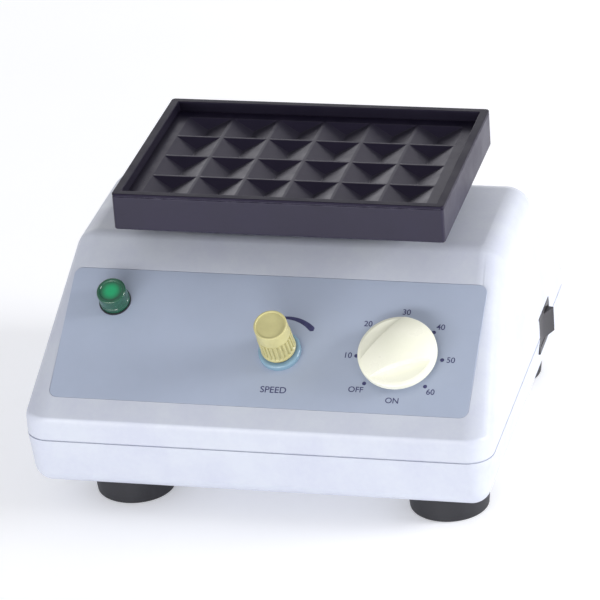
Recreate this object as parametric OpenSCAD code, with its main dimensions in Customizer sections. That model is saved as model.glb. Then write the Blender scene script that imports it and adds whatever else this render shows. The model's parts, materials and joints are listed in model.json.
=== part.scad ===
// Small orbital shaker of the tube and plate mixing kind: a two-shell housing on four rubber feet, a sloping
// control panel, and a deep black tray that circles without turning on one driven and four idling cranks.
// Frame: X to the right, Y to the back, Z up, origin on the table under the middle of the housing.

/* [Housing] */
// Width of the housing over its side walls
body_w = 220; // [200:1:260]
// Depth of the housing, front wall to back wall
body_d = 194; // [184:1:220]
// Height of the flat top above the table
top_z = 105; // [99:1:125]
// Height of the joint between base and cover
parting_z = 39; // [36:1:41]
// Height of the edge where the upright rim turns into the sloping faces
ridge_z = 50.5; // [49:0.5:56]
// Height of the underside of the base, which is the standing height of the feet
base_z = 13.5; // [10:0.5:16]
// Wall thickness of both shells
wall = 3; // [2.5:0.1:3.5]
// Radius of the upright corners and of the folds round the top
corner_r = 12; // [9:0.5:16]
// Radius of the rounded lower edge of the base
base_edge_r = 9; // [6:0.5:11]
// How far the base draws in between the joint and its lower edge
base_draw = 2; // [1:0.25:4]
// Tilt of the control panel above the horizontal
panel_tilt = 33; // [30:1:38]
// Lean of the back face from upright
back_lean = 34; // [28:1:38]
// How far the top edge of each side stands in from the rim
side_draw = 6.5; // [4:0.5:9]
// Depth and height of the shadow groove along the joint
groove = 0.8; // [0.5:0.1:1.2]

/* [Feet] */
// Diameter of a foot where it meets the base
foot_d = 39; // [32:1:42]
// Sideways distance of each foot from the middle
foot_x = 75; // [65:1:80]
// How far the four feet stand to the right of the middle
foot_shift = 8.5; // [0:0.5:10]
// Distance of each foot from the nearer end of the housing
foot_inset = 31; // [30:1:40]

/* [Control panel] */
// Width of the printed panel sheet
label_w = 197; // [190:1:198]
// Height of the printed panel sheet, along the slope
label_h = 69.5; // [66:0.5:72]
// Corner radius of the panel sheet
label_r = 4; // [2:0.5:6]
// Thickness of the panel sheet, which lies in a pocket of the same depth
label_t = 0.5; // [0.3:0.1:0.8]
// Distance up the slope from the rim edge to the panel sheet
label_v = 10.5; // [9:0.5:12]
// Height of both knob axes above the lower edge of the panel sheet
knob_v = 29.3; // [26:0.1:34]
// Sideways place of the speed knob axis
speed_x = 7; // [-10:0.5:15]
// Sideways place of the timer knob axis
timer_x = 62.8; // [56:0.2:68]
// Sideways place of the lamp
lamp_x = -76; // [-82:0.5:-60]
// Height of the lamp above the lower edge of the panel sheet
lamp_v = 52; // [46:0.5:56]

/* [Knobs] */
// Diameter of both knob shafts
shaft_d = 6; // [5:0.5:6.5]
// Skirt diameter of the speed knob
speed_d = 16.6; // [15:0.2:18]
// Height of the speed knob
speed_h = 20.5; // [16:0.5:22]
// Diameter of the collar under the speed knob
collar_d = 20; // [19:0.5:24]
// Height of that collar
collar_h = 3; // [2:0.25:4]
// Diameter of the timer knob
timer_d = 36.6; // [34:0.2:40]
// Gap between the panel and the timer knob's disc
timer_lift = 3; // [1:0.25:4]
// Height of the timer knob's disc above the panel
timer_disc_h = 7; // [6:0.25:9]
// Height of the middle of the timer knob's domed grip above the panel
timer_grip_h = 12.5; // [10.5:0.5:16]
// Width of that grip bar at its pointing end
grip_narrow = 8.6; // [6:0.2:16]
// Width of that grip bar at its far end
grip_wide = 28.4; // [16:0.2:30]
// Turn of that grip bar from pointing straight down the panel
grip_turn = 52; // [40:1:56]
// Gap between the speed knob's skirt and the top of its collar
knob_lift = 1.4; // [0.5:0.1:2]
// Diameter of the lamp lens
lamp_d = 14.5; // [11:0.5:15]
// Height of the lamp lens above the panel
lamp_h = 9.8; // [6:0.2:11]

/* [Tray] */
// Outer width of the tray
tray_w = 157; // [150:1:180]
// Outer depth of the tray
tray_d = 110; // [100:1:126]
// Outer height of the tray
tray_h = 18.5; // [16:0.5:24]
// Wall thickness of the tray
tray_wall = 4; // [3:0.25:5]
// Thickness of the tray floor
tray_floor = 3; // [2.5:0.25:4]
// Depth of the open well between the rim and the ridges of the mat
well_depth = 5; // [4.5:0.1:6]
// Flat border of the mat round its field of pits
mat_border = 6; // [3:0.5:8]
// Depth of each pit in the mat
pit_depth = 4; // [3:0.25:5.5]
// Length of the sloping front and back ends of each pit
pit_end = 5.2; // [4:0.2:7]
// Pits across the tray
pits_x = 6; // [4:1:8]
// Pits from front to back
pits_y = 4; // [3:1:6]
// Clear height between the housing top and the underside of the tray
tray_gap = 11.5; // [11.5:0.5:16]

/* [Drive] */
// Offset of every crank pin from its axis, half the circle that the tray runs on
throw = 2; // [1:0.25:2.5]
// Sideways distance of the idler cranks from the drive axis
idler_x = 56; // [48:1:60]
// Front-to-back distance of the idler cranks from the drive axis
idler_y = 18; // [16:1:20]
// Diameter of the motor can
motor_d = 56; // [40:1:60]
// Length of the motor can
motor_h = 46; // [30:1:48]
// Diameter of the motor shaft
motor_shaft_d = 6; // [5:0.5:8]
// Diameter of the driving crank pin
drive_pin_d = 8; // [6:0.5:9]
// Outer diameter of the drive bearing
bearing_d = 22; // [19:0.5:24]
// Width of the drive bearing
bearing_h = 7; // [5:0.5:7]
// Diameter of the idler journals
journal_d = 6; // [5:0.5:7]
// Diameter of the idler crank pins
idler_pin_d = 5; // [4:0.5:5.5]

/* [Switch and inlet] */
// Distance of the middle of the switch from the front wall
switch_y = 137.5; // [125:0.5:150]
// Height of the middle of the switch above the table
switch_z = 39.2; // [38.6:0.1:42]
// Length of the switch bezel, front to back
switch_len = 25; // [24:0.5:28]
// Height of the switch bezel
switch_h = 18.6; // [17.5:0.2:20]
// Swing of the rocker paddle from one side to the other
rocker_swing = 22; // [14:1:24]
// Sideways place of the power inlet in the back wall
inlet_x = -52; // [-60:1:-30]
// Width of the inlet flange
inlet_w = 32; // [31:0.5:36]
// Height of the inlet flange
inlet_h = 24; // [23.5:0.25:25]

/* [Clearances] */
// Radial running clearance of every shaft and pin in its bearing
run_fit = 0.05; // [0.02:0.01:0.08]
// Gap between parts that move past each other
gap = 0.4; // [0.3:0.05:0.6]
// Gap round fixed parts that are let into a cut-out
fit = 0.2; // [0.1:0.05:0.3]

/* [Hidden] */
$fn = 64;
eps = 0.01;
front_y = -body_d / 2;
back_y = body_d / 2;
side_x = body_w / 2;
ridge_in = 1.5;
rim_in = 0.2;
rim_soft = 5;

// Sloping panel: a point on its lower edge, and the centres of the top folds that it runs into
slope_y = front_y + ridge_in;
fold_z = top_z - corner_r;
fold_front_y = slope_y
    + (corner_r + cos(panel_tilt) * (fold_z - ridge_z)) / sin(panel_tilt);
fold_back_y = back_y - ridge_in
    - (corner_r + sin(back_lean) * (fold_z - ridge_z)) / cos(back_lean);
fold_x = side_x - side_draw - corner_r;

// Drive axis, in the middle of the flat top
axis_y = (fold_front_y + fold_back_y) / 2;

// Heights of the drive, from the deck plate upwards
deck_t = 3;
deck_top = top_z - wall - 10;
deck_bottom = deck_top - deck_t;
deck_w = 152;
deck_d = 68;
deck_boss_x = 70;
deck_boss_y = 27.5;
tray_z = top_z + tray_gap;
carrier_t = 3;
carrier_z = tray_z - carrier_t;
carrier_w = 2 * idler_x + 22;
carrier_d = 2 * idler_y + 20;
carrier_screw_x = carrier_w / 2 - 22;
carrier_screw_y = carrier_d / 2 - 7;
motor_screw_r = motor_d / 2 - 7;
bearing_z = tray_z - 1 - bearing_h;
bearing_boss_d = bearing_d + 5;
bearing_lip = 1;
hub_d = 20;
hub_top = top_z - wall - 0.5;
weight_d = 44;
weight_h = 5;
weight_z = deck_top + 2;
pin_hole_d = 2 * throw + drive_pin_d + 6;
bush_d = 10;
bush_flange_d = 14;
bush_flange_h = 1.4;
pin_bush_d = 9;
pin_bush_flange_d = 12;
pin_bush_flange_h = 1.4;
web_d = 16;

// Inner corner radius of the tray, and width of the flat ridges between the pits of its mat
tray_in_r = 1.5;
mat_land = 1.4;

// Depth of the recess in the top of the speed knob that holds its cap
knob_recess = 2;

// Threaded bushes of the two controls, barrel of the lamp, and the timer's fixing screws
pot_bush_d = 9.4;
timer_bush_d = 10;
lamp_body_d = 10;
timer_screw_v = 14;

// Base posts and screws
post_x = side_x - 14;
post_d = 9;
boss_d = 9;
post_rows = [front_y + 52, front_y + switch_y - switch_len / 2 - 10];
floor_z = base_z + wall;
foot_bottom_d = foot_d - 2.5;
foot_step = 1.2;

// Circuit board, on the base floor at the left of the motor
board_x = -48;
board_y = front_y + 50;
board_w = 80;
board_d = 56;
board_t = 1.6;
board_z = floor_z + 8;
board_hole_x = board_w / 2 - 5;
board_hole_y = board_d / 2 - 5;

// Switch and inlet
switch_face_x = side_x - 0.1;
switch_bezel_t = 1.5;
window_len = switch_len - 4.8;
window_h = switch_h - 5.6;
switch_body_len = window_len + 2;
switch_body_h = window_h + 2.6;
switch_depth = 15;
paddle_x = switch_face_x - 3;
paddle_half = window_len / 2 - 1.1;
inlet_z = parting_z - 1;
inlet_flange_t = 2.4;
inlet_seat = 1.4;
socket_w = 24.4;
socket_h = 16.4;
socket_depth = 17;
blade_len = 11;

// ---- helpers ----

// Flat rounded rectangle, centred
module round_rect(w, d, r) {
    square([w - 2 * r, d], center = true);
    square([w, d - 2 * r], center = true);
    for (sx = [-1, 1], sy = [-1, 1])
        translate([sx * (w / 2 - r), sy * (d / 2 - r)]) circle(r);
}

// Upright block with rounded corners, standing on z
module round_block(w, d, h, r, z = 0) {
    translate([0, 0, z]) linear_extrude(h) round_rect(w, d, r);
}

// Frame on the panel: local X sideways, local Y up the slope from the panel sheet's lower edge, local Z outwards
module on_panel(x, v, h = 0) {
    translate([0, slope_y, ridge_z]) rotate([panel_tilt, 0, 0]) translate([x, label_v + v, h]) children();
}

// One copy at each of the four points x, y to either side of a centre
module at_corners(x, y, cy = 0) {
    for (sx = [-1, 1], sy = [-1, 1]) translate([sx * x, cy + sy * y, 0]) children();
}

// Feet stand a little to the right of the middle, as on the unit this is modelled on
module foot_places() {
    translate([foot_shift, 0, 0]) at_corners(foot_x, body_d / 2 - foot_inset) children();
}

// One copy at each of the four posts that screw the shells together
module at_posts() {
    for (sx = [-1, 1], y = post_rows) translate([sx * post_x, y, 0]) children();
}

// Ring of four corner discs at one height, for the shells
module corner_discs(inset, z, r) {
    at_corners(side_x - inset - r, body_d / 2 - inset - r) translate([0, 0, z]) cylinder(0.02, r = r, $fn = 32);
}

// Pan-headed screw with its head below the origin and its shank upwards
module screw(shank_d, length, head_d, head_h) {
    difference() {
        union() {
            translate([0, 0, -head_h]) cylinder(head_h, d = head_d);
            cylinder(length, d = shank_d);
        }
        translate([0, 0, -head_h - eps]) for (a = [0, 90]) rotate(a)
            translate([-head_d * 0.3, -head_d * 0.07, 0]) cube([head_d * 0.6, head_d * 0.14, head_h * 0.5]);
    }
}

// ---- housing ----

// Solid with the outline of the cover, drawn in by t on every side but the bottom
module cover_form(t) {
    r = corner_r - t;
    hull() {
        corner_discs(t, parting_z - (t > 0 ? 1 : 0), r);
        corner_discs(t + rim_in, ridge_z - rim_soft, r);
        corner_discs(t + ridge_in, ridge_z - t * 0.5, r);
        for (sx = [-1, 1]) {
            translate([sx * fold_x, fold_front_y, fold_z]) sphere(r, $fn = 32);
            translate([sx * fold_x, fold_back_y, fold_z]) sphere(r, $fn = 32);
        }
    }
}

// Solid with the outline of the base, drawn in by t
module base_form(t) {
    r = base_edge_r - t;
    hull() {
        corner_discs(t, parting_z - groove - (t > 0 ? -1 : 0.02), corner_r - t);
        at_corners(side_x - base_draw - base_edge_r, body_d / 2 - base_draw - base_edge_r)
            translate([0, 0, base_z + base_edge_r]) sphere(r, $fn = 32);
    }
}

// Cut-out for the switch, through the wall and with a seat for its bezel
module switch_cut() {
    translate([side_x - 8, front_y + switch_y - switch_body_len / 2 - fit, switch_z - switch_body_h / 2 - fit])
        cube([12, switch_body_len + 2 * fit, switch_body_h + 2 * fit]);
    translate([switch_face_x - switch_bezel_t, front_y + switch_y - switch_len / 2 - fit,
        switch_z - switch_h / 2 - fit])
        cube([6, switch_len + 2 * fit, switch_h + 2 * fit]);
}

// Cut-out for the power inlet in the back wall, with a flat seat for its flange
module inlet_cut() {
    translate([inlet_x - socket_w / 2 - 1.6 - fit, back_y - 8, inlet_z - socket_h / 2 - 1.6 - fit])
        cube([socket_w + 3.2 + 2 * fit, 12, socket_h + 3.2 + 2 * fit]);
    translate([inlet_x - inlet_w / 2 - fit, back_y - inlet_seat, inlet_z - inlet_h / 2 - fit])
        cube([inlet_w + 2 * fit, 6, inlet_h + 2 * fit]);
    at_inlet_screws() cylinder(8, d = 2);
}

// Axes of the two inlet screws, pointing in through the flange
module at_inlet_screws() {
    for (s = [-1, 1]) translate([inlet_x + s * (inlet_w / 2 - 2.2), back_y + inlet_flange_t - inlet_seat,
        inlet_z - inlet_h / 2 + 2.2]) rotate([90, 0, 0]) children();
}

module base_shell() {
    color([0.85, 0.87, 0.92]) difference() {
        union() {
            difference() {
                base_form(0);
                difference() {
                    base_form(wall);
                    at_posts() cylinder(parting_z, d = post_d);
                    foot_places() cylinder(floor_z + 7, d = boss_d);
                    translate([board_x, board_y, 0]) at_corners(board_hole_x, board_hole_y)
                        cylinder(floor_z + 2, d = 8);
                }
            }
            // Joint face, set in from the outside so that a shadow line shows
            difference() {
                round_block(body_w - 2 * groove, body_d - 2 * groove, groove + 0.04, corner_r - groove,
                    parting_z - groove - 0.04);
                round_block(body_w - 2 * wall, body_d - 2 * wall, groove + 0.2, corner_r - wall,
                    parting_z - groove - 0.1);
            }
            at_posts() translate([0, 0, parting_z - 4]) cylinder(4, d = post_d);
        }
        // Screw holes up into the cover, with room for the heads
        at_posts() {
            translate([0, 0, base_z - 1]) cylinder(parting_z, d = 4);
            translate([0, 0, base_z - 1]) cylinder(7, d = 8);
        }
        // Blind holes for the foot screws
        foot_places() translate([0, 0, base_z - 1]) cylinder(wall + 6, d = 3.6);
        // Blind holes for the board pillars
        translate([board_x, board_y, 0]) at_corners(board_hole_x, board_hole_y)
            translate([0, 0, floor_z - 1]) cylinder(4, d = 3);
        // Air slots under the motor
        for (i = [-4:4]) translate([i * 8, axis_y, base_z - 1]) linear_extrude(wall + 2) round_rect(3, 34, 1.49);
        switch_cut();
        inlet_cut();
    }
}

module cover_shell() {
    color([0.87, 0.89, 0.94]) difference() {
        cover_form(0);
        difference() {
            cover_form(wall);
            at_posts() translate([0, 0, parting_z]) cylinder(top_z, d = post_d);
            at_corners(deck_boss_x, deck_boss_y, axis_y) translate([0, 0, deck_top]) cylinder(20, d = boss_d);
        }
        // Screw holes
        at_posts() translate([0, 0, parting_z - 1]) cylinder(15, d = 2.8);
        at_corners(deck_boss_x, deck_boss_y, axis_y) translate([0, 0, deck_top - 1]) cylinder(9, d = 2.8);
        // Pocket for the panel sheet, and the holes behind it
        on_panel(0, label_h / 2, -label_t) linear_extrude(5)
            round_rect(label_w + 2 * fit, label_h + 2 * fit, label_r);
        panel_holes(-wall - 3, 8);
        // Holes for the driving pin and the idler bushes
        translate([0, axis_y, top_z - wall - 1]) cylinder(wall + 2, d = pin_hole_d);
        at_corners(idler_x, idler_y, axis_y) translate([0, 0, top_z - wall - 1])
            cylinder(wall + 2, d = bush_d + 2 * fit);
        switch_cut();
        inlet_cut();
    }
}

// Holes for the two shafts and the lamp, square to the panel
module panel_holes(h, depth) {
    on_panel(speed_x, knob_v, h) cylinder(depth, d = pot_bush_d + 2 * fit);
    on_panel(timer_x, knob_v, h) cylinder(depth, d = timer_bush_d + 2 * fit);
    on_panel(lamp_x, lamp_v, h) cylinder(depth, d = lamp_body_d + 2 * fit);
    for (s = [-1, 1]) on_panel(timer_x, knob_v + s * timer_screw_v, h) cylinder(depth, d = 3.4);
}

module front_label() {
    color([0.62, 0.67, 0.78]) difference() {
        on_panel(0, label_h / 2, -label_t) linear_extrude(label_t) round_rect(label_w, label_h, label_r);
        panel_holes(-2, 4);
    }
}

module feet() {
    color([0.1, 0.1, 0.12]) foot_places() difference() {
        union() {
            cylinder(base_z - foot_step, d1 = foot_bottom_d, d2 = foot_d);
            translate([0, 0, base_z - foot_step]) cylinder(foot_step, d = foot_d - 3);
        }
        translate([0, 0, -1]) cylinder(base_z - 2, d = 9);
        cylinder(base_z + 1, d = 4);
    }
}

module foot_screws() {
    color("silver") foot_places() translate([0, 0, base_z - 3])
        screw(3.4, 10.5, 7, 2.4);
}

module cover_screws() {
    color("silver") at_posts() translate([0, 0, base_z + 6])
        screw(2.7, parting_z - base_z + 6, 6.4, 2.2);
}

// ---- drive ----

module deck_plate() {
    color([0.7, 0.71, 0.73]) translate([0, axis_y, 0]) difference() {
        round_block(deck_w, deck_d, deck_t, 5, deck_bottom);
        translate([0, 0, deck_bottom - 1]) cylinder(deck_t + 2, d = 20);
        at_corners(deck_boss_x, deck_boss_y) translate([0, 0, deck_bottom - 1]) cylinder(deck_t + 2, d = 3.4);
        at_corners(idler_x, idler_y) translate([0, 0, deck_bottom - 1]) cylinder(deck_t + 2, d = bush_d);
        for (a = [45:90:315]) rotate(a) translate([motor_screw_r, 0, deck_bottom - 1])
            cylinder(deck_t + 2, d = 3.4);
    }
}

module deck_screws() {
    color("silver") at_corners(deck_boss_x, deck_boss_y, axis_y) translate([0, 0, deck_bottom])
        screw(2.7, deck_t + 7, 6, 2);
}

module motor_body() {
    color([0.75, 0.76, 0.78]) translate([0, axis_y, 0]) difference() {
        union() {
            translate([0, 0, deck_bottom - motor_h]) cylinder(motor_h, d = motor_d);
            translate([0, 0, deck_bottom - eps]) cylinder(deck_t, d = 19.6);
        }
        translate([0, 0, deck_bottom - motor_h - 1]) cylinder(motor_h + 6, d = motor_shaft_d + 2 * run_fit);
        for (a = [45:90:315]) rotate(a) translate([motor_screw_r, 0, deck_bottom - 8]) cylinder(9, d = 3);
        // Air slots round the can
        for (a = [0:30:330]) rotate(a + 15) translate([motor_d / 2 - 3, -1.5, deck_bottom - motor_h + 8])
            cube([5, 3, motor_h - 22]);
    }
}

module motor_end_cap() {
    color([0.25, 0.25, 0.28]) translate([0, axis_y, deck_bottom - motor_h - 4]) difference() {
        cylinder(4, d = motor_d - 2);
        translate([0, 0, 2.5]) cylinder(4, d = 14);
    }
}

module motor_screws() {
    color("silver") translate([0, axis_y, deck_top]) for (a = [45:90:315]) rotate(a)
        translate([motor_screw_r, 0, 0]) mirror([0, 0, 1]) screw(2.9, 9, 5.5, 1.6);
}

module motor_shaft() {
    color("gainsboro") translate([0, axis_y, deck_bottom - motor_h - 1]) difference() {
        cylinder(hub_top - deck_bottom + motor_h - 1, d = motor_shaft_d);
        // Flat for the set screw
        translate([-5, motor_shaft_d / 2 - 0.5, motor_h + deck_t + 1]) cube([10, 5, 20]);
    }
}

module drive_crank() {
    color([0.72, 0.6, 0.35]) translate([0, axis_y, 0]) difference() {
        union() {
            translate([0, 0, weight_z - 1]) cylinder(hub_top - weight_z + 1, d = hub_d);
            // Counterweight, opposite to the pin
            difference() {
                translate([0, 0, weight_z]) cylinder(weight_h, d = weight_d);
                translate([3, -weight_d, weight_z - 1]) cube([weight_d, 2 * weight_d, weight_h + 2]);
            }
            translate([throw, 0, hub_top - 1]) cylinder(bearing_z + bearing_h - hub_top + 0.5, d = drive_pin_d);
        }
        translate([0, 0, deck_top - 1]) cylinder(hub_top - deck_top - 1, d = motor_shaft_d + 0.04);
        translate([0, 0, weight_z + weight_h / 2]) rotate([-90, 0, 0]) cylinder(weight_d, d = 3);
    }
}

module crank_set_screw() {
    color([0.2, 0.2, 0.22]) translate([0, axis_y + motor_shaft_d / 2 - 0.5 + 0.02, weight_z + weight_h / 2])
        rotate([-90, 0, 0]) difference() {
            cylinder(6.8, d = 2.9);
            translate([0, 0, 5]) cylinder(3, d = 1.6, $fn = 6);
        }
}

module idler_bushes() {
    color([0.7, 0.5, 0.25]) at_corners(idler_x, idler_y, axis_y) difference() {
        union() {
            translate([0, 0, deck_bottom - 4]) cylinder(top_z + 1 - deck_bottom + 4, d = bush_d - 0.04);
            translate([0, 0, deck_top]) cylinder(bush_flange_h, d = bush_flange_d);
        }
        translate([0, 0, deck_bottom - 5]) cylinder(top_z, d = journal_d + 2 * run_fit);
    }
}

// One idler crank: a journal in the deck bush, a web, and the offset pin that carries the tray
module idler_crank(i) {
    web_z = top_z + 1 + gap;
    web_h = carrier_z - pin_bush_flange_h - gap - web_z;
    sx = i % 2 == 0 ? 1 : -1;
    sy = i < 2 ? -1 : 1;
    color("gainsboro") translate([sx * idler_x, axis_y + sy * idler_y, 0]) {
        difference() {
            translate([0, 0, deck_bottom - 8]) cylinder(web_z - deck_bottom + 8.5, d = journal_d);
            // Groove for the retaining clip
            translate([0, 0, deck_bottom - 6]) difference() {
                cylinder(1, d = journal_d + 2);
                translate([0, 0, -1]) cylinder(3, d = journal_d - 1.4);
            }
        }
        translate([throw / 2, 0, web_z]) cylinder(web_h, d = web_d);
        translate([throw, 0, web_z]) cylinder(tray_z - gap - web_z, d = idler_pin_d);
    }
}

// Retaining clip in the groove at the foot of an idler journal
module idler_clip(i) {
    sx = i % 2 == 0 ? 1 : -1;
    sy = i < 2 ? -1 : 1;
    color([0.3, 0.3, 0.32]) translate([sx * idler_x, axis_y + sy * idler_y, deck_bottom - 5.9]) difference() {
        cylinder(0.8, d = journal_d + 4);
        translate([0, 0, -1]) cylinder(3, d = journal_d - 1.3);
        translate([0, -1.8, -1]) cube([10, 3.6, 3]);
    }
}

// ---- tray ----

module tray() {
    z = tray_z;
    color([0.2, 0.18, 0.23]) translate([throw, axis_y, 0]) difference() {
        round_block(tray_w, tray_d, tray_h, 2.5, z);
        round_block(tray_w - 2 * tray_wall, tray_d - 2 * tray_wall, tray_h, tray_in_r, z + tray_floor);
        at_corners(carrier_screw_x, carrier_screw_y) translate([0, 0, z - 1])
            cylinder(tray_floor + 2, d = 3.4);
    }
}

module tray_mat() {
    w = tray_w - 2 * (tray_wall + fit);
    d = tray_d - 2 * (tray_wall + fit);
    h = tray_h - tray_floor - well_depth;
    px = (w - 2 * mat_border) / pits_x;
    py = (d - 2 * mat_border) / pits_y;
    color([0.24, 0.22, 0.27]) translate([throw, axis_y, tray_z + tray_floor]) difference() {
        round_block(w, d, h, tray_in_r - fit);
        for (i = [0:pits_x - 1], j = [0:pits_y - 1])
            translate([(i + 0.5 - pits_x / 2) * px, (j + 0.5 - pits_y / 2) * py, h])
                roof_pit(px - mat_land, py - mat_land);
        at_corners(carrier_screw_x, carrier_screw_y) translate([0, 0, -1]) cylinder(2.6, d = 7);
    }
}

// Upside-down hipped roof that cuts a pit with a valley from front to back, its base a little above z = 0
module roof_pit(w, d) {
    e = 0.3;
    x = w / 2 * (1 + e / pit_depth);
    y = d / 2 + pit_end * e / pit_depth;
    valley_y = d / 2 - pit_end;
    polyhedron(
        points = [[-x, -y, e], [x, -y, e], [x, y, e], [-x, y, e], [0, -valley_y, -pit_depth],
            [0, valley_y, -pit_depth]],
        faces = [[3, 2, 1, 0], [0, 1, 4], [1, 2, 5, 4], [2, 3, 5], [3, 0, 4, 5]]);
}

module tray_carrier() {
    color([0.78, 0.79, 0.81]) translate([throw, axis_y, 0]) difference() {
        union() {
            round_block(carrier_w, carrier_d, carrier_t, 6, carrier_z);
            translate([0, 0, bearing_z - bearing_lip]) cylinder(carrier_z - bearing_z + bearing_lip + eps,
                d = bearing_boss_d);
        }
        translate([0, 0, bearing_z]) cylinder(20, d = bearing_d);
        translate([0, 0, bearing_z - 5]) cylinder(20, d = bearing_d - 4);
        at_corners(idler_x, idler_y) translate([0, 0, carrier_z - 1]) cylinder(carrier_t + 2, d = pin_bush_d);
        at_corners(carrier_screw_x, carrier_screw_y) translate([0, 0, carrier_z - 1])
            cylinder(carrier_t + 2, d = 3.4);
    }
}

module drive_bearing() {
    color("silver") translate([throw, axis_y, bearing_z]) difference() {
        cylinder(bearing_h, d = bearing_d - 0.04);
        translate([0, 0, -1]) cylinder(bearing_h + 2, d = drive_pin_d + 2 * run_fit);
        for (z = [-1, bearing_h - 0.6]) translate([0, 0, z]) difference() {
            cylinder(1.6, d = bearing_d - 4);
            translate([0, 0, -1]) cylinder(4, d = drive_pin_d + 4);
        }
    }
}

module pin_bushes() {
    color([0.7, 0.5, 0.25]) translate([throw, 0, 0]) at_corners(idler_x, idler_y, axis_y) difference() {
        union() {
            translate([0, 0, carrier_z - eps]) cylinder(carrier_t - 0.1, d = pin_bush_d - 0.04);
            translate([0, 0, carrier_z - pin_bush_flange_h]) cylinder(pin_bush_flange_h, d = pin_bush_flange_d);
        }
        translate([0, 0, carrier_z - 5]) cylinder(20, d = idler_pin_d + 2 * run_fit);
    }
}

module carrier_screws() {
    color("silver") translate([throw, axis_y, 0]) at_corners(carrier_screw_x, carrier_screw_y)
        translate([0, 0, carrier_z]) screw(3, carrier_t + tray_floor + 1, 5.8, 1.8);
}

// ---- control panel ----

module pot_body() {
    color([0.35, 0.4, 0.45]) on_panel(speed_x, knob_v, -wall) difference() {
        union() {
            translate([0, 0, -10]) cylinder(10, d = 17);
            cylinder(wall + 4, d = pot_bush_d);
            for (i = [-1:1]) translate([i * 5 - 0.8, -14, -8]) cube([1.6, 8, 0.8]);
        }
        translate([0, 0, -9]) cylinder(30, d = shaft_d + 2 * run_fit);
    }
}

module pot_nut() {
    color("gainsboro") on_panel(speed_x, knob_v, 0) difference() {
        cylinder(2, d = 13.4, $fn = 6);
        translate([0, 0, -1]) cylinder(5, d = pot_bush_d + 0.04);
    }
}

module speed_collar() {
    color([0.48, 0.62, 0.7]) on_panel(speed_x, knob_v, 0) difference() {
        cylinder(collar_h, d = collar_d);
        translate([0, 0, -1]) cylinder(collar_h + 2, d = 14.2);
    }
}

module pot_shaft() {
    color("silver") on_panel(speed_x, knob_v, -wall - 8.6) cylinder(speed_h + 8, d = shaft_d);
}

module speed_knob() {
    ribs = 24;
    bottom = collar_h + knob_lift;
    color([0.78, 0.76, 0.6]) on_panel(speed_x, knob_v, bottom) difference() {
        union() {
            cylinder(3.2, d = speed_d);
            translate([0, 0, 3]) cylinder(speed_h - 3.8, d1 = speed_d - 0.8, d2 = speed_d - 1.2);
        }
        // Bore for the shaft, and flutes round the grip
        translate([0, 0, -1]) cylinder(speed_h - bottom + 1, d = shaft_d + 0.06);
        for (i = [0:ribs - 1]) rotate(i * 360 / ribs) translate([speed_d / 2 - 0.6, 0, 3.6])
            cylinder(speed_h - 6.2, d = 1);
        translate([0, 0, speed_h - knob_recess]) cylinder(knob_recess, d = speed_d - 4.4);
    }
}

module speed_knob_cap() {
    color([0.8, 0.79, 0.64]) on_panel(speed_x, knob_v, collar_h + knob_lift + speed_h - knob_recess + 0.02)
        cylinder(1.4, d = speed_d - 4.5);
}

module timer_body() {
    color([0.8, 0.8, 0.76]) on_panel(timer_x, knob_v, -wall) difference() {
        union() {
            translate([0, 0, -26]) cylinder(25.4, d = 40);
            translate([0, 0, -0.7]) cylinder(0.7, d = 30);
            cylinder(wall + 0.6, d = timer_bush_d);
        }
        translate([0, 0, -22]) cylinder(40, d = shaft_d + 2 * run_fit);
        for (s = [-1, 1]) translate([0, s * timer_screw_v, -7]) cylinder(8, d = 3);
    }
}

module timer_screws() {
    color("gainsboro") for (s = [-1, 1]) on_panel(timer_x, knob_v + s * timer_screw_v, 0) mirror([0, 0, 1])
        screw(2.9, wall + 6, 5, 0.6);
}

module timer_shaft() {
    color("silver") on_panel(timer_x, knob_v, -wall - 21.5) cylinder(wall + 21.5 + timer_grip_h - 3, d = shaft_d);
}

module timer_knob() {
    grip_base = timer_disc_h - 1;
    chamfer_h = 1.2;
    dome_h = timer_grip_h - timer_disc_h;
    dome_r = (pow(timer_d / 2, 2) + pow(dome_h, 2)) / (2 * dome_h);
    color([0.96, 0.95, 0.9]) on_panel(timer_x, knob_v, 0) difference() {
        union() {
            translate([0, 0, timer_lift]) cylinder(timer_disc_h - timer_lift - chamfer_h, d = timer_d);
            translate([0, 0, timer_disc_h - chamfer_h - 0.01])
                cylinder(chamfer_h + 0.01, d1 = timer_d, d2 = timer_d - 2 * chamfer_h);
            // Grip bar that narrows towards its pointing end, near the off mark at rest, under a shallow dome
            rotate(-grip_turn) intersection() {
                translate([0, 0, grip_base]) linear_extrude(timer_grip_h - grip_base + 1) intersection() {
                    circle(d = timer_d - 1.6);
                    polygon([[-grip_narrow / 2, -timer_d / 2], [grip_narrow / 2, -timer_d / 2],
                        [grip_wide / 2, timer_d / 2], [-grip_wide / 2, timer_d / 2]]);
                }
                translate([0, 0, timer_grip_h - dome_r]) sphere(dome_r);
            }
        }
        translate([0, 0, timer_lift - 1]) cylinder(timer_grip_h - timer_lift - 1.8, d = shaft_d + 0.06);
        // Hollow underside, clear of the screw heads and the bush
        translate([0, 0, timer_lift - 1]) difference() {
            cylinder(2, d = timer_d - 5);
            translate([0, 0, -1]) cylinder(4, d = 12);
        }
    }
}

module lamp_lens() {
    color([0.05, 0.5, 0.25]) on_panel(lamp_x, lamp_v, 0) union() {
        translate([0, 0, 0.8]) cylinder(lamp_h - 2, d1 = lamp_d, d2 = lamp_d - 0.8);
        translate([0, 0, lamp_h - 1.21]) cylinder(1.2, d1 = lamp_d - 0.8, d2 = lamp_d - 2.8);
    }
}

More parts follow.
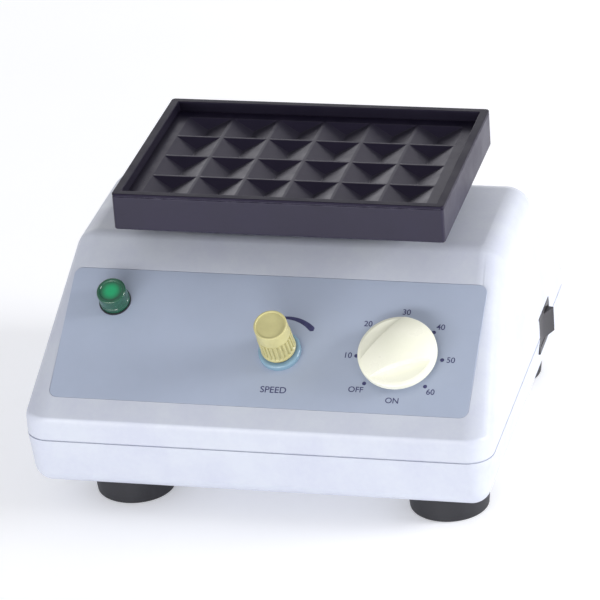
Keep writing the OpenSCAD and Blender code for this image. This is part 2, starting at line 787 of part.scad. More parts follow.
module lamp_body() {
    color([0.1, 0.25, 0.18]) on_panel(lamp_x, lamp_v, 0) union() {
        cylinder(0.8, d = lamp_d + 0.6);
        translate([0, 0, -wall - 14]) cylinder(wall + 14.01, d = lamp_body_d);
        for (s = [-1, 1]) translate([s * 2.5 - 0.4, -1, -wall - 20]) cube([0.8, 2, 6.5]);
    }
}

module lamp_nut() {
    color("gainsboro") on_panel(lamp_x, lamp_v, -wall - 3.02) difference() {
        cylinder(3, d = 15, $fn = 6);
        translate([0, 0, -1]) cylinder(5, d = lamp_body_d + 0.04);
    }
}

// ---- switch and inlet ----

module switch_body() {
    cy = front_y + switch_y;
    color([0.13, 0.12, 0.15]) translate([0, cy, switch_z]) difference() {
        union() {
            translate([switch_face_x - switch_bezel_t, -switch_len / 2, -switch_h / 2])
                cube([switch_bezel_t, switch_len, switch_h]);
            translate([switch_face_x - switch_depth, -switch_body_len / 2, -switch_body_h / 2])
                cube([switch_depth - switch_bezel_t + eps, switch_body_len, switch_body_h]);
        }
        translate([switch_face_x - switch_depth + 3, -window_len / 2, -window_h / 2])
            cube([switch_depth, window_len, window_h]);
        translate([paddle_x, 0, -switch_body_h / 2 + 0.2]) cylinder(switch_body_h - 0.4, r = 1.5 + run_fit);
    }
}

module switch_terminals() {
    color("goldenrod") for (s = [-1, 1]) translate([switch_face_x - switch_depth - 8, front_y + switch_y + s * 5 - 0.4,
        switch_z - 2.4]) cube([8, 0.8, 4.8]);
}

// Rocker paddle with its pressed end to the front
module rocker_paddle() {
    tilt = rocker_swing / 2;
    color([0.16, 0.14, 0.18]) translate([paddle_x, front_y + switch_y, switch_z]) {
        rotate(-tilt) translate([0, 0, -window_h / 2 + fit]) linear_extrude(window_h - 2 * fit)
            polygon([[4.6, -paddle_half], [2.9, 0], [4.6, paddle_half], [0.5, paddle_half], [-4.5, 4],
                [-4.5, -4], [0.5, -paddle_half]]);
        translate([0, 0, -switch_body_h / 2 + 0.4]) cylinder(switch_body_h - 0.8, r = 1.5);
    }
}

module power_inlet() {
    color([0.12, 0.12, 0.14]) translate([inlet_x, back_y, inlet_z]) difference() {
        union() {
            translate([-inlet_w / 2, -inlet_seat, -inlet_h / 2]) cube([inlet_w, inlet_flange_t, inlet_h]);
            translate([-socket_w / 2 - 1.6, -inlet_seat - socket_depth - 1, -socket_h / 2 - 1.6])
                cube([socket_w + 3.2, socket_depth + 1 + eps, socket_h + 3.2]);
        }
        difference() {
            translate([-socket_w / 2, inlet_flange_t - inlet_seat - socket_depth, -socket_h / 2])
                cube([socket_w, socket_depth + 1, socket_h]);
            for (s = [-1, 1]) translate([s * socket_w / 2, 0, socket_h / 2]) rotate([0, 45, 0])
                cube([7, 60, 7], center = true);
        }
        for (s = [-1, 0, 1]) blade_hole(s);
        translate([-inlet_x, -back_y, -inlet_z]) at_inlet_screws() cylinder(8, d = 2);
    }
}

// Slot that holds one contact blade of the inlet
module blade_hole(s) {
    translate([s * 7 - 1, -22, s == 0 ? 0 : -4]) cube([2, 10, 4]);
}

module inlet_blades() {
    color("gold") translate([inlet_x, back_y, inlet_z]) for (s = [-1, 0, 1])
        translate([s * 7 - 1, -24, s == 0 ? 0 : -4]) cube([2, 24 - 16 + blade_len, 4]);
}

module inlet_screws() {
    color("silver") at_inlet_screws() screw(1.9, 3.5, 3.2, 0.8);
}

// ---- circuit board ----

module on_board(x, y) {
    translate([board_x + x, board_y + y, board_z + board_t]) children();
}

module circuit_board() {
    color([0.15, 0.4, 0.22]) translate([board_x, board_y, 0]) difference() {
        round_block(board_w, board_d, board_t, 2, board_z);
        at_corners(board_hole_x, board_hole_y) translate([0, 0, board_z - 1]) cylinder(board_t + 2, d = 3.2);
    }
}

module board_pillars() {
    color("goldenrod") translate([board_x, board_y, 0]) at_corners(board_hole_x, board_hole_y) difference() {
        union() {
            translate([0, 0, floor_z + 2]) cylinder(board_z - floor_z - 2, d = 6);
            translate([0, 0, floor_z - 0.8]) cylinder(3, d = 2.96);
        }
        translate([0, 0, board_z - 4]) cylinder(5, d = 2.5);
    }
}

module board_screws() {
    color("silver") translate([board_x, board_y, board_z + board_t]) at_corners(board_hole_x, board_hole_y)
        mirror([0, 0, 1]) screw(2.4, board_t + 3, 5, 1.6);
}

module board_fuse() {
    color([0.85, 0.87, 0.9]) on_board(-14, 20) translate([-10, 0, 4]) rotate([0, 90, 0]) cylinder(20, d = 5);
}

module fuse_clips() {
    color("gainsboro") for (s = [-1, 1]) on_board(-14 + s * 8.5, 20) difference() {
        translate([-1.5, -3.2, 0]) cube([3, 6.4, 5]);
        translate([-3, 0, 4]) rotate([0, 90, 0]) cylinder(6, d = 5.04);
    }
}

module filter_capacitor() {
    color([0.9, 0.75, 0.2]) on_board(-14, -8) translate([-9, -4, 0]) cube([18, 8, 14]);
}

module heat_sink() {
    color([0.3, 0.31, 0.33]) on_board(18, 14) difference() {
        translate([-12, -7, 0]) cube([24, 14, 18]);
        for (i = [-2:2]) translate([i * 4.6 - 1.2, -1, -1]) cube([2.4, 10, 20]);
    }
}

module speed_triac() {
    color([0.12, 0.12, 0.13]) on_board(18, 14) union() {
        translate([-5, -7 - 4.5, 4]) cube([10, 4.5, 12]);
        for (i = [-1:1]) translate([i * 2.5 - 0.4, -7 - 2.8, 0]) cube([0.8, 0.6, 4.2]);
    }
}

module terminal_block() {
    color([0.2, 0.45, 0.3]) on_board(-30, 0) difference() {
        translate([-5, -12.5, 0]) cube([10, 25, 10]);
        for (i = [-2:2]) translate([0, i * 5, 6]) cylinder(5, d = 3.4);
    }
}

// ---- assembly ----

base_shell();
cover_shell();
front_label();
feet();
foot_screws();
cover_screws();
deck_plate();
deck_screws();
motor_body();
motor_end_cap();
motor_screws();
idler_bushes();
pot_body();
pot_nut();
speed_collar();
timer_body();
timer_screws();
lamp_lens();
lamp_body();
lamp_nut();
switch_body();
switch_terminals();
power_inlet();
inlet_blades();
inlet_screws();
circuit_board();
board_pillars();
board_screws();
board_fuse();
fuse_clips();
filter_capacitor();
heat_sink();
speed_triac();
terminal_block();
motor_shaft();
drive_crank();
crank_set_screw();
tray();
tray_mat();
tray_carrier();
drive_bearing();
pin_bushes();
carrier_screws();
idler_crank(0);  // idler_crank_1
idler_crank(1);  // idler_crank_2
idler_crank(2);  // idler_crank_3
idler_crank(3);  // idler_crank_4
idler_clip(0);  // idler_clip_1
idler_clip(1);  // idler_clip_2
idler_clip(2);  // idler_clip_3
idler_clip(3);  // idler_clip_4
speed_knob();
speed_knob_cap();
pot_shaft();
timer_knob();
timer_shaft();
rocker_paddle();
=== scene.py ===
import json
import math

import bmesh
import bpy
from bpy.props import FloatProperty, FloatVectorProperty, IntProperty, PointerProperty
from mathutils import Matrix, Vector


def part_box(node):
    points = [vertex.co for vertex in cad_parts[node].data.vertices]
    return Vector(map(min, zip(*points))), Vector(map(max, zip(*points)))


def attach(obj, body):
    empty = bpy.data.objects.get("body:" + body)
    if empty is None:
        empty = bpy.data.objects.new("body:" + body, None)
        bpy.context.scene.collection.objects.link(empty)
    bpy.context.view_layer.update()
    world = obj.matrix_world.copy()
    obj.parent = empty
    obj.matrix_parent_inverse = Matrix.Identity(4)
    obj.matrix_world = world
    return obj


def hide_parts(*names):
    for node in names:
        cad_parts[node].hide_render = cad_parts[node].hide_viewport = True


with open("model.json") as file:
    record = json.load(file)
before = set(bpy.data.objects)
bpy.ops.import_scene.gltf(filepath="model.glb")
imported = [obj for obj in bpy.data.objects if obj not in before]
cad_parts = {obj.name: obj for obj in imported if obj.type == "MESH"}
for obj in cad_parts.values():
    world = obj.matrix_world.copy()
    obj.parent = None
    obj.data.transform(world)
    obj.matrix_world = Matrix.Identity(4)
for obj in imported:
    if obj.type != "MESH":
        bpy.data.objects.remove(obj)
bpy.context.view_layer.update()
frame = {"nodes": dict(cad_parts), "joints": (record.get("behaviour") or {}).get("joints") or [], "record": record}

bl_info = {
    "name": "Orbital Mixer Pieces",
    "version": (1, 0, 0),
    "blender": (4, 5, 0),
    "location": "3D View > Sidebar > Mixer",
    "description": "Builds the visible pieces of a bench mixer with an orbiting tray round its fixed frame",
    "category": "Add Mesh",
}

# ---- places taken from the frame ----

MM = 0.001
COVER_LOW, COVER_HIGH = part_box("cover_shell")
SHEET_LOW, SHEET_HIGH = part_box("front_label")
JOINTS = {joint["name"]: joint for joint in frame["joints"]}
IDLERS = (1, 2, 3, 4)

SIDE_X = COVER_HIGH.x
HALF_DEPTH = COVER_HIGH.y
TOP_Z = COVER_HIGH.z
SEAM_Z = COVER_LOW.z
BASE_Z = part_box("base_shell")[0].z

# The control panel: its outward normal, the way up its slope, and the lower edge of its printed sheet
PANEL_NORMAL = Vector(JOINTS["speed_turn"]["axis"]).normalized()
UP_SLOPE = Vector((0, PANEL_NORMAL.z, -PANEL_NORMAL.y))
SPEED_AXIS = Vector(JOINTS["speed_turn"]["pos_m"])
TIMER_AXIS = Vector(JOINTS["timer_turn"]["pos_m"])
KNOB_V = (SPEED_AXIS.y - SHEET_LOW.y) / UP_SLOPE.y
SHEET_FOOT = Vector((0, *(SPEED_AXIS - UP_SLOPE * KNOB_V).yz))
SHEET_H = (SHEET_HIGH.z - SHEET_FOOT.z) / UP_SLOPE.z
SHEET_W = SHEET_HIGH.x - SHEET_LOW.x
PRINT_H = 0.05 * MM
HOLE_R = 5.2 * MM
FONT_SIZE = 1.35  # as a share of the height of a numeral


def at(x, y, z=0.0):
    """Matrix that moves a mesh to a place."""
    return Matrix.Translation((x, y, z))


def panel_frame(x, v, h=0.0):
    """Matrix from a mesh drawn on local X and Y, facing local Z, to that place on the control panel."""
    turn = Matrix((Vector((1, 0, 0)), UP_SLOPE, PANEL_NORMAL)).transposed().to_4x4()
    return Matrix.Translation(SHEET_FOOT + Vector((x, 0, 0)) + UP_SLOPE * v + PANEL_NORMAL * h) @ turn


def node_centre(name):
    """Middle of a CAD node's box."""
    low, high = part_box(name)
    return (low + high) / 2


LAMP_MIDDLE = node_centre("lamp_lens") - SHEET_FOOT
LAMP_PLACE = (LAMP_MIDDLE.x, LAMP_MIDDLE.dot(UP_SLOPE))
SPEED_PLACE = (SPEED_AXIS.x, KNOB_V)
TIMER_PLACE = (TIMER_AXIS.x, KNOB_V)


# ---- sizes and colours that a user would change ----

def length_prop(name, description, millimetres):
    """Length, with its default in millimetres."""
    return FloatProperty(name=name, description=description, default=millimetres * MM, unit="LENGTH")


def angle_prop(name, description, degrees):
    """Angle, with its default in degrees."""
    return FloatProperty(name=name, description=description, default=math.radians(degrees), subtype="ANGLE")


def colour_prop(name, description, default):
    """Plain colour."""
    return FloatVectorProperty(name=name, description=description, size=3, default=default, subtype="COLOR")


class HousingLook(bpy.types.PropertyGroup):
    """Shape and colour of the two shells"""
    corner_radius: length_prop("Corner radius", "Upright corners and folds round the top", 12)
    ridge_height: length_prop("Ridge height", "Height where the sloping faces begin", 50.5)
    ridge_draw: length_prop("Ridge draw", "How far the ridge stands in from the rim", 1.5)
    ridge_soft: length_prop("Ridge softness", "Height of the rounding below the ridge", 5)
    side_draw: length_prop("Side draw", "How far the top edge stands in from each side", 6.5)
    back_lean: angle_prop("Back lean", "Lean of the back face from upright", 34)
    wall: length_prop("Wall", "Wall thickness of the shells", 3)
    seam: length_prop("Seam", "Width and depth of the shadow line between the shells", 0.8)
    base_draw: length_prop("Base draw", "How far the base draws in to its lower edge", 2)
    base_edge: length_prop("Base edge", "Radius of the lower edge of the base", 9)
    colour: colour_prop("Shell colour", "Colour of the moulded shells", (0.575, 0.605, 0.68))


class ControlLook(bpy.types.PropertyGroup):
    """Shapes and colours on the control panel"""
    sheet_corner: length_prop("Sheet corner", "Corner radius of the printed sheet", 4)
    dial_radius: length_prop("Dial radius", "Circle of dots round the timer knob", 20)
    numeral_height: length_prop("Numeral height", "Height of the dial numbers", 3)
    arc_radius: length_prop("Arc radius", "Middle of the speed wedge", 18.2)
    ribs: IntProperty(name="Ribs", description="Grip ribs round the speed knob", default=24)
    sheet_colour: colour_prop("Sheet colour", "Ground of the printed sheet", (0.40, 0.455, 0.58))
    ink_colour: colour_prop("Ink colour", "Marks on the printed sheet", (0.035, 0.035, 0.11))


class TrayLook(bpy.types.PropertyGroup):
    """Shape of the tray and its mat"""
    wall: length_prop("Tray wall", "Wall thickness of the tray", 4)
    floor: length_prop("Tray floor", "Floor thickness of the tray", 3)
    corner: length_prop("Tray corner", "Outer corner radius of the tray", 1.8)
    columns: IntProperty(name="Columns", description="Pits across the mat", default=6)
    rows: IntProperty(name="Rows", description="Pits from front to back", default=4)
    border: length_prop("Border", "Flat border round the pits", 6)
    land: length_prop("Land", "Width of the ridges between pits", 1.4)
    pit_depth: length_prop("Pit depth", "Depth of each pit", 4)
    pit_end: length_prop("Pit end", "Length of the sloping ends of each pit", 5.2)


class StageLook(bpy.types.PropertyGroup):
    """Camera and studio light"""
    azimuth: angle_prop("Azimuth", "Camera's swing to the right of straight ahead", 15.44)
    elevation: angle_prop("Elevation", "Camera's height above the horizon", 26.47)
    roll: angle_prop("Roll", "Tilt of the picture", -4.318)
    distance: length_prop("Distance", "Camera to the middle of the mixer", 1898.6)
    lens: FloatProperty(name="Lens", description="Focal length in millimetres", default=241.8)
    key_power: FloatProperty(name="Key power", description="Large soft light, low on the right", default=19)
    fill_power: FloatProperty(name="Fill power", description="Wide low light in front", default=16)
    back_power: FloatProperty(name="Backdrop power", description="Wide low light behind", default=9)
    sky: FloatProperty(name="Sky", description="Strength of the even light from all round", default=0.48)
    floor_glow: FloatProperty(name="Floor glow", description="Light of the paper floor itself", default=0.3)
    floor_colour: colour_prop("Floor colour", "Colour of the plain floor", (0.9, 0.9, 0.92))


# ---- mesh helpers ----

def rounded_rect(width, depth, radius, steps=10):
    """Corner arcs of a centred rounded rectangle, anticlockwise."""
    points = []
    for quarter, (sx, sy) in enumerate(((1, 1), (-1, 1), (-1, -1), (1, -1))):
        for i in range(steps + 1):
            angle = (quarter + i / steps) * math.pi / 2
            points.append((sx * (width / 2 - radius) + radius * math.cos(angle),
                           sy * (depth / 2 - radius) + radius * math.sin(angle)))
    return points


def eased(corners, steps=5):
    """Polyline through corners given as (x, y, radius), each rounded to its radius."""
    points = []
    for i, (x, y, radius) in enumerate(corners):
        here = Vector((x, y))
        if radius == 0:
            points.append(here)
            continue
        back = (Vector(corners[i - 1][:2]) - here).normalized()
        ahead = (Vector(corners[(i + 1) % len(corners)][:2]) - here).normalized()
        half = back.angle(ahead) / 2
        centre = here + (back + ahead).normalized() * (radius / math.sin(half))
        first = here + back * (radius / math.tan(half)) - centre
        last = here + ahead * (radius / math.tan(half)) - centre
        sweep = math.atan2(first.x * last.y - first.y * last.x, first.dot(last))
        for k in range(steps + 1):
            angle = sweep * k / steps
            points.append(centre + Vector((first.x * math.cos(angle) - first.y * math.sin(angle),
                                           first.x * math.sin(angle) + first.y * math.cos(angle))))
    return points


def skin(rings, poles=True):
    """Closed solid through rings of points; a ring of one point is a pole, other end rings are capped."""
    bm = bmesh.new()
    loops = [[bm.verts.new(point) for point in ring] for ring in rings]
    pairs = list(zip(loops, loops[1:])) if poles else list(zip(loops, loops[1:] + loops[:1]))
    for low, high in pairs:
        count = max(len(low), len(high))
        for i in range(count):
            j = (i + 1) % count
            corners = (low[i % len(low)], low[j % len(low)], high[j % len(high)], high[i % len(high)])
            bm.faces.new(list(dict.fromkeys(corners)))
    if poles:
        for loop in (loops[0], loops[-1]):
            if len(loop) > 2:
                bm.faces.new(loop)
    bmesh.ops.recalc_face_normals(bm, faces=bm.faces)
    return bm


def turned(profile, segments=72, bored=False):
    """Solid of revolution about local Z through (radius, height) points; a bored one has a closed profile."""
    rings = []
    for radius, height in profile:
        if radius < 1e-7:
            rings.append([(0, 0, height)])
            continue
        angles = [2 * math.pi * i / segments for i in range(segments)]
        rings.append([(radius * math.cos(a), radius * math.sin(a), height) for a in angles])
    return skin(rings, poles=not bored)


def lathed(profile, place=Matrix.Identity(4), steps=5, **ways):
    """Solid of revolution through (radius, height, rounding) points in millimetres, put at a place."""
    bm = turned(eased([[size * MM for size in point] for point in profile], steps), **ways)
    bm.transform(place)
    return bm


def prism(outline, low, high):
    """Upright solid on an outline of (x, y) points."""
    return skin([[(x, y, z) for x, y in outline] for z in (low, high)])


def soft_prism(outline_at, low, high, ease, steps=4):
    """Upright solid with its upper edge rounded; outline_at(inset) gives the outline drawn in by inset."""
    rings = [[(x, y, low) for x, y in outline_at(0)]]
    for i in range(steps + 1):
        angle = math.pi / 2 * i / steps
        z = high - ease + ease * math.sin(angle)
        rings.append([(x, y, z) for x, y in outline_at(ease * (1 - math.cos(angle)))])
    return skin(rings)


def block(low, high):
    """Box between two corners."""
    bm = bmesh.new()
    size = Vector(high) - Vector(low)
    middle = (Vector(high) + Vector(low)) / 2
    bmesh.ops.create_cube(bm, size=1, matrix=Matrix.Translation(middle) @ Matrix.Diagonal((*size, 1)))
    return bm


def rod(radius, low, high, place=Matrix.Identity(4), segments=48):
    """Plain round cutter or pin along the local Z of a place."""
    bm = turned([(0, low), (radius, low), (radius, high), (0, high)], segments)
    bm.transform(place)
    return bm


def merged(parts):
    """One bmesh that holds several."""
    whole = bmesh.new()
    for part in parts:
        mesh = bpy.data.meshes.new("part")
        part.to_mesh(mesh)
        part.free()
        whole.from_mesh(mesh)
        bpy.data.meshes.remove(mesh)
    return whole


def hull(points):
    """Convex solid round points, with its flat faces whole."""
    bm = bmesh.new()
    for point in points:
        bm.verts.new(point)
    bmesh.ops.remove_doubles(bm, verts=bm.verts, dist=1e-6)
    result = bmesh.ops.convex_hull(bm, input=bm.verts)
    spare = {v for v in result["geom_interior"] + result["geom_unused"] if isinstance(v, bmesh.types.BMVert)}
    bmesh.ops.delete(bm, geom=list(spare), context="VERTS")
    bmesh.ops.dissolve_limit(bm, angle_limit=math.radians(0.2), verts=bm.verts, edges=bm.edges)
    bmesh.ops.recalc_face_normals(bm, faces=bm.faces)
    return bm


def ball_points(centre, radius, steps=28):
    """Points spread over a ball."""
    points = []
    for i in range(steps + 1):
        polar = math.pi * i / steps
        for j in range(2 * steps):
            around = math.pi * j / steps
            points.append(Vector(centre) + radius * Vector((math.sin(polar) * math.cos(around),
                                                            math.sin(polar) * math.sin(around),
                                                            math.cos(polar))))
    return points


def loose_object(name, bm):
    """Object at the origin from a bmesh, which is freed."""
    mesh = bpy.data.meshes.new(name)
    bm.to_mesh(mesh)
    bm.free()
    obj = bpy.data.objects.new(name, mesh)
    bpy.context.scene.collection.objects.link(obj)
    return obj


def discard(obj):
    """Removes a helper object and its mesh."""
    mesh = obj.data
    bpy.data.objects.remove(obj)
    bpy.data.meshes.remove(mesh)


def settle(obj):
    """Turns an object's modifiers into plain mesh."""
    bpy.context.view_layer.update()
    depsgraph = bpy.context.evaluated_depsgraph_get()
    mesh = bpy.data.meshes.new_from_object(obj.evaluated_get(depsgraph), depsgraph=depsgraph)
    worn = obj.data
    obj.modifiers.clear()
    obj.data = mesh
    bpy.data.meshes.remove(worn)
    mesh.name = obj.name


def modify(obj, kind, **settings):
    """Adds a modifier to an object and sets its properties."""
    step = obj.modifiers.new(kind.lower(), kind)
    for key, value in settings.items():
        setattr(step, key, value)
    return step


def carve(obj, cutters, operation="DIFFERENCE"):
    """Cuts bmeshes or objects out of an object, or joins them to it, and uses them up."""
    tools = [tool if isinstance(tool, bpy.types.Object) else loose_object("cutter", tool) for tool in cutters]
    for tool in tools:
        modify(obj, "BOOLEAN", operation=operation, solver="MANIFOLD", object=tool)
    settle(obj)
    for tool in tools:
        discard(tool)


def bevelled(obj, width, segments=2, angle=40):
    """Rounds the edges of an object that are sharper than angle."""
    modify(obj, "BEVEL", width=width, segments=segments, limit_method="ANGLE",
           angle_limit=math.radians(angle))
    settle(obj)


def shade(obj, sharp=32):
    """Smooth shading with crisp edges where faces meet at more than sharp degrees."""
    bm = bmesh.new()
    bm.from_mesh(obj.data)
    for face in bm.faces:
        face.smooth = True
    for edge in bm.edges:
        edge.smooth = not (edge.is_manifold and edge.calc_face_angle(0) > math.radians(sharp))
    bm.to_mesh(obj.data)
    bm.free()
    modify(obj, "WEIGHTED_NORMAL", keep_sharp=True)
    settle(obj)


def finish(obj, body, slot, stands_for=(), place=None, sharp=32, material=None):
    """Gives a piece its place, shading, the material of its slot and its body, and hides the CAD nodes it stands
    for.
    """
    if place is not None:
        obj.data.transform(place)
    shade(obj, sharp)
    obj.data.materials.clear()
    obj.data.materials.append(material or finish_for(slot))
    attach(obj, body)
    if stands_for:
        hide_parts(*stands_for)
    return obj


def eased_copy(node, name, width, body, slot):
    """Copy of a CAD node with its edges rounded, which stands for it."""
    bm = bmesh.new()
    bm.from_mesh(frame["nodes"][node].data)
    bmesh.ops.remove_doubles(bm, verts=bm.verts, dist=1e-6)
    bmesh.ops.dissolve_limit(bm, angle_limit=math.radians(1), verts=bm.verts, edges=bm.edges)
    obj = loose_object(name, bm)
    bevelled(obj, width)
    return finish(obj, body, slot, stands_for=(node,))


def grown(name, tree, values):
    """Object from a geometry node tree with its inputs set, as a plain mesh."""
    obj = loose_object(name, bmesh.new())
    step = modify(obj, "NODES", node_group=tree)
    for socket in tree.interface.items_tree:
        if socket.in_out == "INPUT":
            step[socket.identifier] = values[socket.name]
    settle(obj)
    return obj


# ---- node helpers ----

def feed(tree, node, inputs):
    """Fills a node's inputs with values or with other nodes' sockets."""
    for key, value in inputs.items():
        if isinstance(value, bpy.types.NodeSocket):
            tree.links.new(value, node.inputs[key])
        else:
            node.inputs[key].default_value = value


def put(tree, kind, inputs=None, **settings):
    """Adds a node, sets its properties and fills its inputs."""
    node = tree.nodes.new(kind)
    for key, value in settings.items():
        setattr(node, key, value)
    feed(tree, node, inputs or {})
    return node


def new_group(name, kind, given, result):
    """Node group with one output; each input is given by its default number or the kind of thing it takes."""
    tree = bpy.data.node_groups.new(name, kind)
    for label, default in given.items():
        if isinstance(default, str):
            tree.interface.new_socket(label, in_out="INPUT", socket_type="NodeSocket" + default)
        else:
            number = "Int" if isinstance(default, int) else "Float"
            socket = tree.interface.new_socket(label, in_out="INPUT", socket_type="NodeSocket" + number)
            socket.default_value = default
    tree.interface.new_socket(result, in_out="OUTPUT",
                              socket_type="NodeSocket" + ("Geometry" if result == "Geometry" else "Float"))
    return tree, tree.nodes.new("NodeGroupInput").outputs, tree.nodes.new("NodeGroupOutput").inputs[0]


def maths(tree, operation, first, second, clamp=False):
    """Output of a Math node."""
    return put(tree, "ShaderNodeMath", {0: first, 1: second}, operation=operation, use_clamp=clamp).outputs[0]


def times(tree, first, second):
    """Product of two values."""
    return maths(tree, "MULTIPLY", first, second)


def remap(tree, value, low, high, start=0.0, end=1.0, **settings):
    """Value stretched from low..high to start..end."""
    given = {0: value, 1: low, 2: high, 3: start, 4: end}
    return put(tree, "ShaderNodeMapRange", given, **settings).outputs[0]


def vector_maths(tree, operation, *vectors):
    """Outputs of a Vector Math node."""
    return put(tree, "ShaderNodeVectorMath", dict(enumerate(vectors)), operation=operation).outputs


def join_xyz(tree, **sizes):
    """Vector from its X, Y and Z."""
    return put(tree, "ShaderNodeCombineXYZ", sizes).outputs[0]


def surface(tree):
    """Object coordinates."""
    return put(tree, "ShaderNodeTexCoord").outputs["Object"]


def noise(tree, scale, detail, roughness=0.5, where=None):
    """Noise on Object coordinates, or on where."""
    return put(tree, "ShaderNodeTexNoise", {"Vector": where or surface(tree), "Scale": scale,
                                            "Detail": detail, "Roughness": roughness}).outputs[0]


def bump(tree, height, strength, distance):
    """Normal from a height."""
    return put(tree, "ShaderNodeBump",
               {"Height": height, "Strength": strength, "Distance": distance}).outputs[0]


def blend_colours(tree, factor, first, second):
    """Output of a colour Mix node, whose two colours are inputs 6 and 7; RGB triples get a full alpha."""
    tones = {index: tone if isinstance(tone, bpy.types.NodeSocket) else (*tone[:3], 1)
             for index, tone in ((6, first), (7, second))}
    return put(tree, "ShaderNodeMix", {"Factor": factor, **tones}, data_type="RGBA").outputs[2]


def end_tree(tree, geometry, material, out):
    """Ends a geometry tree: its instances made real, and its material."""
    real = put(tree, "GeometryNodeRealizeInstances", {"Geometry": geometry})
    coloured = put(tree, "GeometryNodeSetMaterial", {"Geometry": real.outputs[0], "Material": material})
    tree.links.new(coloured.outputs[0], out)


# ---- effects shared by the materials ----

def mottle_group():
    """Cloudy mask: large soft patches with a finer speckle over them."""
    tree, given, out = new_group("Mottle", "ShaderNodeTree", {"Scale": 60.0, "Speckle": 0.35}, "Mask")
    cloud = remap(tree, noise(tree, given["Scale"], 4.0, 0.6), 0.34, 0.66)
    fine = noise(tree, times(tree, given["Scale"], 9.0), 3.0)
    speckle = times(tree, maths(tree, "SUBTRACT", fine, 0.5), given["Speckle"])
    tree.links.new(maths(tree, "ADD", cloud, speckle, clamp=True), out)
    return tree


def grain_group():
    """Fine moulded or cast surface as a height."""
    tree, given, out = new_group("Grain", "ShaderNodeTree", {"Scale": 1500.0, "Pits": 0.4}, "Height")
    cells = put(tree, "ShaderNodeTexVoronoi",
                {"Vector": surface(tree), "Scale": times(tree, given["Scale"], 0.6)})
    pits = times(tree, cells.outputs["Distance"], given["Pits"])
    tree.links.new(maths(tree, "ADD", noise(tree, given["Scale"], 5.0), pits), out)
    return tree


def wear_group():
    """Mask of rubbed outer edges, broken up by noise."""
    tree, given, out = new_group("Edge Wear", "ShaderNodeTree", {"Width": 0.0008, "Amount": 0.5}, "Mask")
    rounded = put(tree, "ShaderNodeBevel", {"Radius": given["Width"]}, samples=4).outputs[0]
    true = put(tree, "ShaderNodeNewGeometry").outputs["Normal"]
    edge = remap(tree, vector_maths(tree, "DOT_PRODUCT", rounded, true)["Value"], 0.985, 0.8)
    patch = remap(tree, noise(tree, 220.0, 4.0), 0.4, 0.62, start=0.2)
    tree.links.new(times(tree, times(tree, edge, patch), given["Amount"]), out)
    return tree


def dust_group():
    """Mask of fine dust that settles on faces that look up."""
    tree, given, out = new_group("Settled Dust", "ShaderNodeTree", {"Amount": 0.1}, "Mask")
    normal = put(tree, "ShaderNodeNewGeometry").outputs["Normal"]
    facing = remap(tree, put(tree, "ShaderNodeSeparateXYZ", {0: normal}).outputs["Z"], 0.35, 1.0)
    patch = remap(tree, noise(tree, 90.0, 8.0, 0.7), 0.42, 0.7)
    tree.links.new(times(tree, times(tree, facing, patch), given["Amount"]), out)
    return tree


def brushed_group():
    """Long fine scratches along X, as a mask and height."""
    tree, given, out = new_group("Brushed", "ShaderNodeTree", {"Scale": 900.0}, "Streak")
    drawn = put(tree, "ShaderNodeMapping", {"Vector": surface(tree), "Scale": (0.04, 1.0, 1.0)}).outputs[0]
    tree.links.new(noise(tree, given["Scale"], 6.0, where=drawn), out)
    return tree


EFFECT_MAKERS = {"Mottle": mottle_group, "Grain": grain_group, "Edge Wear": wear_group,
                 "Settled Dust": dust_group, "Brushed": brushed_group}
EFFECTS = {}


def effect(tree, name, **values):
    """Places one of the shared effects in a material, with its own values."""
    if name not in EFFECTS:
        EFFECTS[name] = EFFECT_MAKERS[name]()
    return put(tree, "ShaderNodeGroup", values, node_tree=EFFECTS[name]).outputs[0]


# ---- materials ----

DUST = (0.62, 0.61, 0.6)
VIOLET = (0.7, 0.6, 1, 1)


def new_material(name):
    """Material with a bare Principled shader; returns it with its tree and shader."""
    material = bpy.data.materials.new(name)
    material.use_nodes = True
    return material, material.node_tree, material.node_tree.nodes["Principled BSDF"]


def moulded(name, colour, shade_colour, roughness, scale=60.0, grain=1500.0, depth=0.00002, wear=0.3,
            worn_colour=None, dust=0.05, coat=0.0, speckle=0.35, own=None):
    """Moulded plastic, rubber or enamel: mottled colour, fine grain, rubbed edges and a little dust."""
    material, tree, shader = new_material(name)
    mask = effect(tree, "Mottle", Scale=scale, Speckle=speckle)
    rub = effect(tree, "Edge Wear", Width=0.0009, Amount=wear)
    film = effect(tree, "Settled Dust", Amount=dust)
    tone = blend_colours(tree, mask, colour, shade_colour)
    tone = blend_colours(tree, rub, tone, worn_colour or [min(1.0, c * 1.25 + 0.03) for c in colour])
    gloss = maths(tree, "ADD", times(tree, mask, 0.1), roughness - 0.05)
    feed(tree, shader, {
        "Base Color": blend_colours(tree, film, tone, DUST),
        "Roughness": maths(tree, "ADD", gloss, times(tree, film, 0.5)),
        "Normal": bump(tree, effect(tree, "Grain", Scale=grain, Pits=0.4), 0.5, depth),
        "Coat Weight": coat, "Coat Roughness": 0.12, **(own or {})})
    return material


def metal(name, colour, shade_colour, roughness, streak=900.0):
    """Worked metal: fine drawn streaks, cloudy tarnish and bright rubbed edges."""
    material, tree, shader = new_material(name)
    tone = blend_colours(tree, effect(tree, "Mottle", Scale=45.0, Speckle=0.5), colour, shade_colour)
    rub = effect(tree, "Edge Wear", Width=0.0006, Amount=0.25)
    lines = effect(tree, "Brushed", Scale=streak)
    feed(tree, shader, {
        "Base Color": blend_colours(tree, rub, tone, [min(1.0, c * 1.3 + 0.05) for c in colour]),
        "Roughness": maths(tree, "ADD", times(tree, lines, 0.25), roughness - 0.1),
        "Normal": bump(tree, lines, 0.4, 0.00001),
        "Metallic": 1.0})
    return material


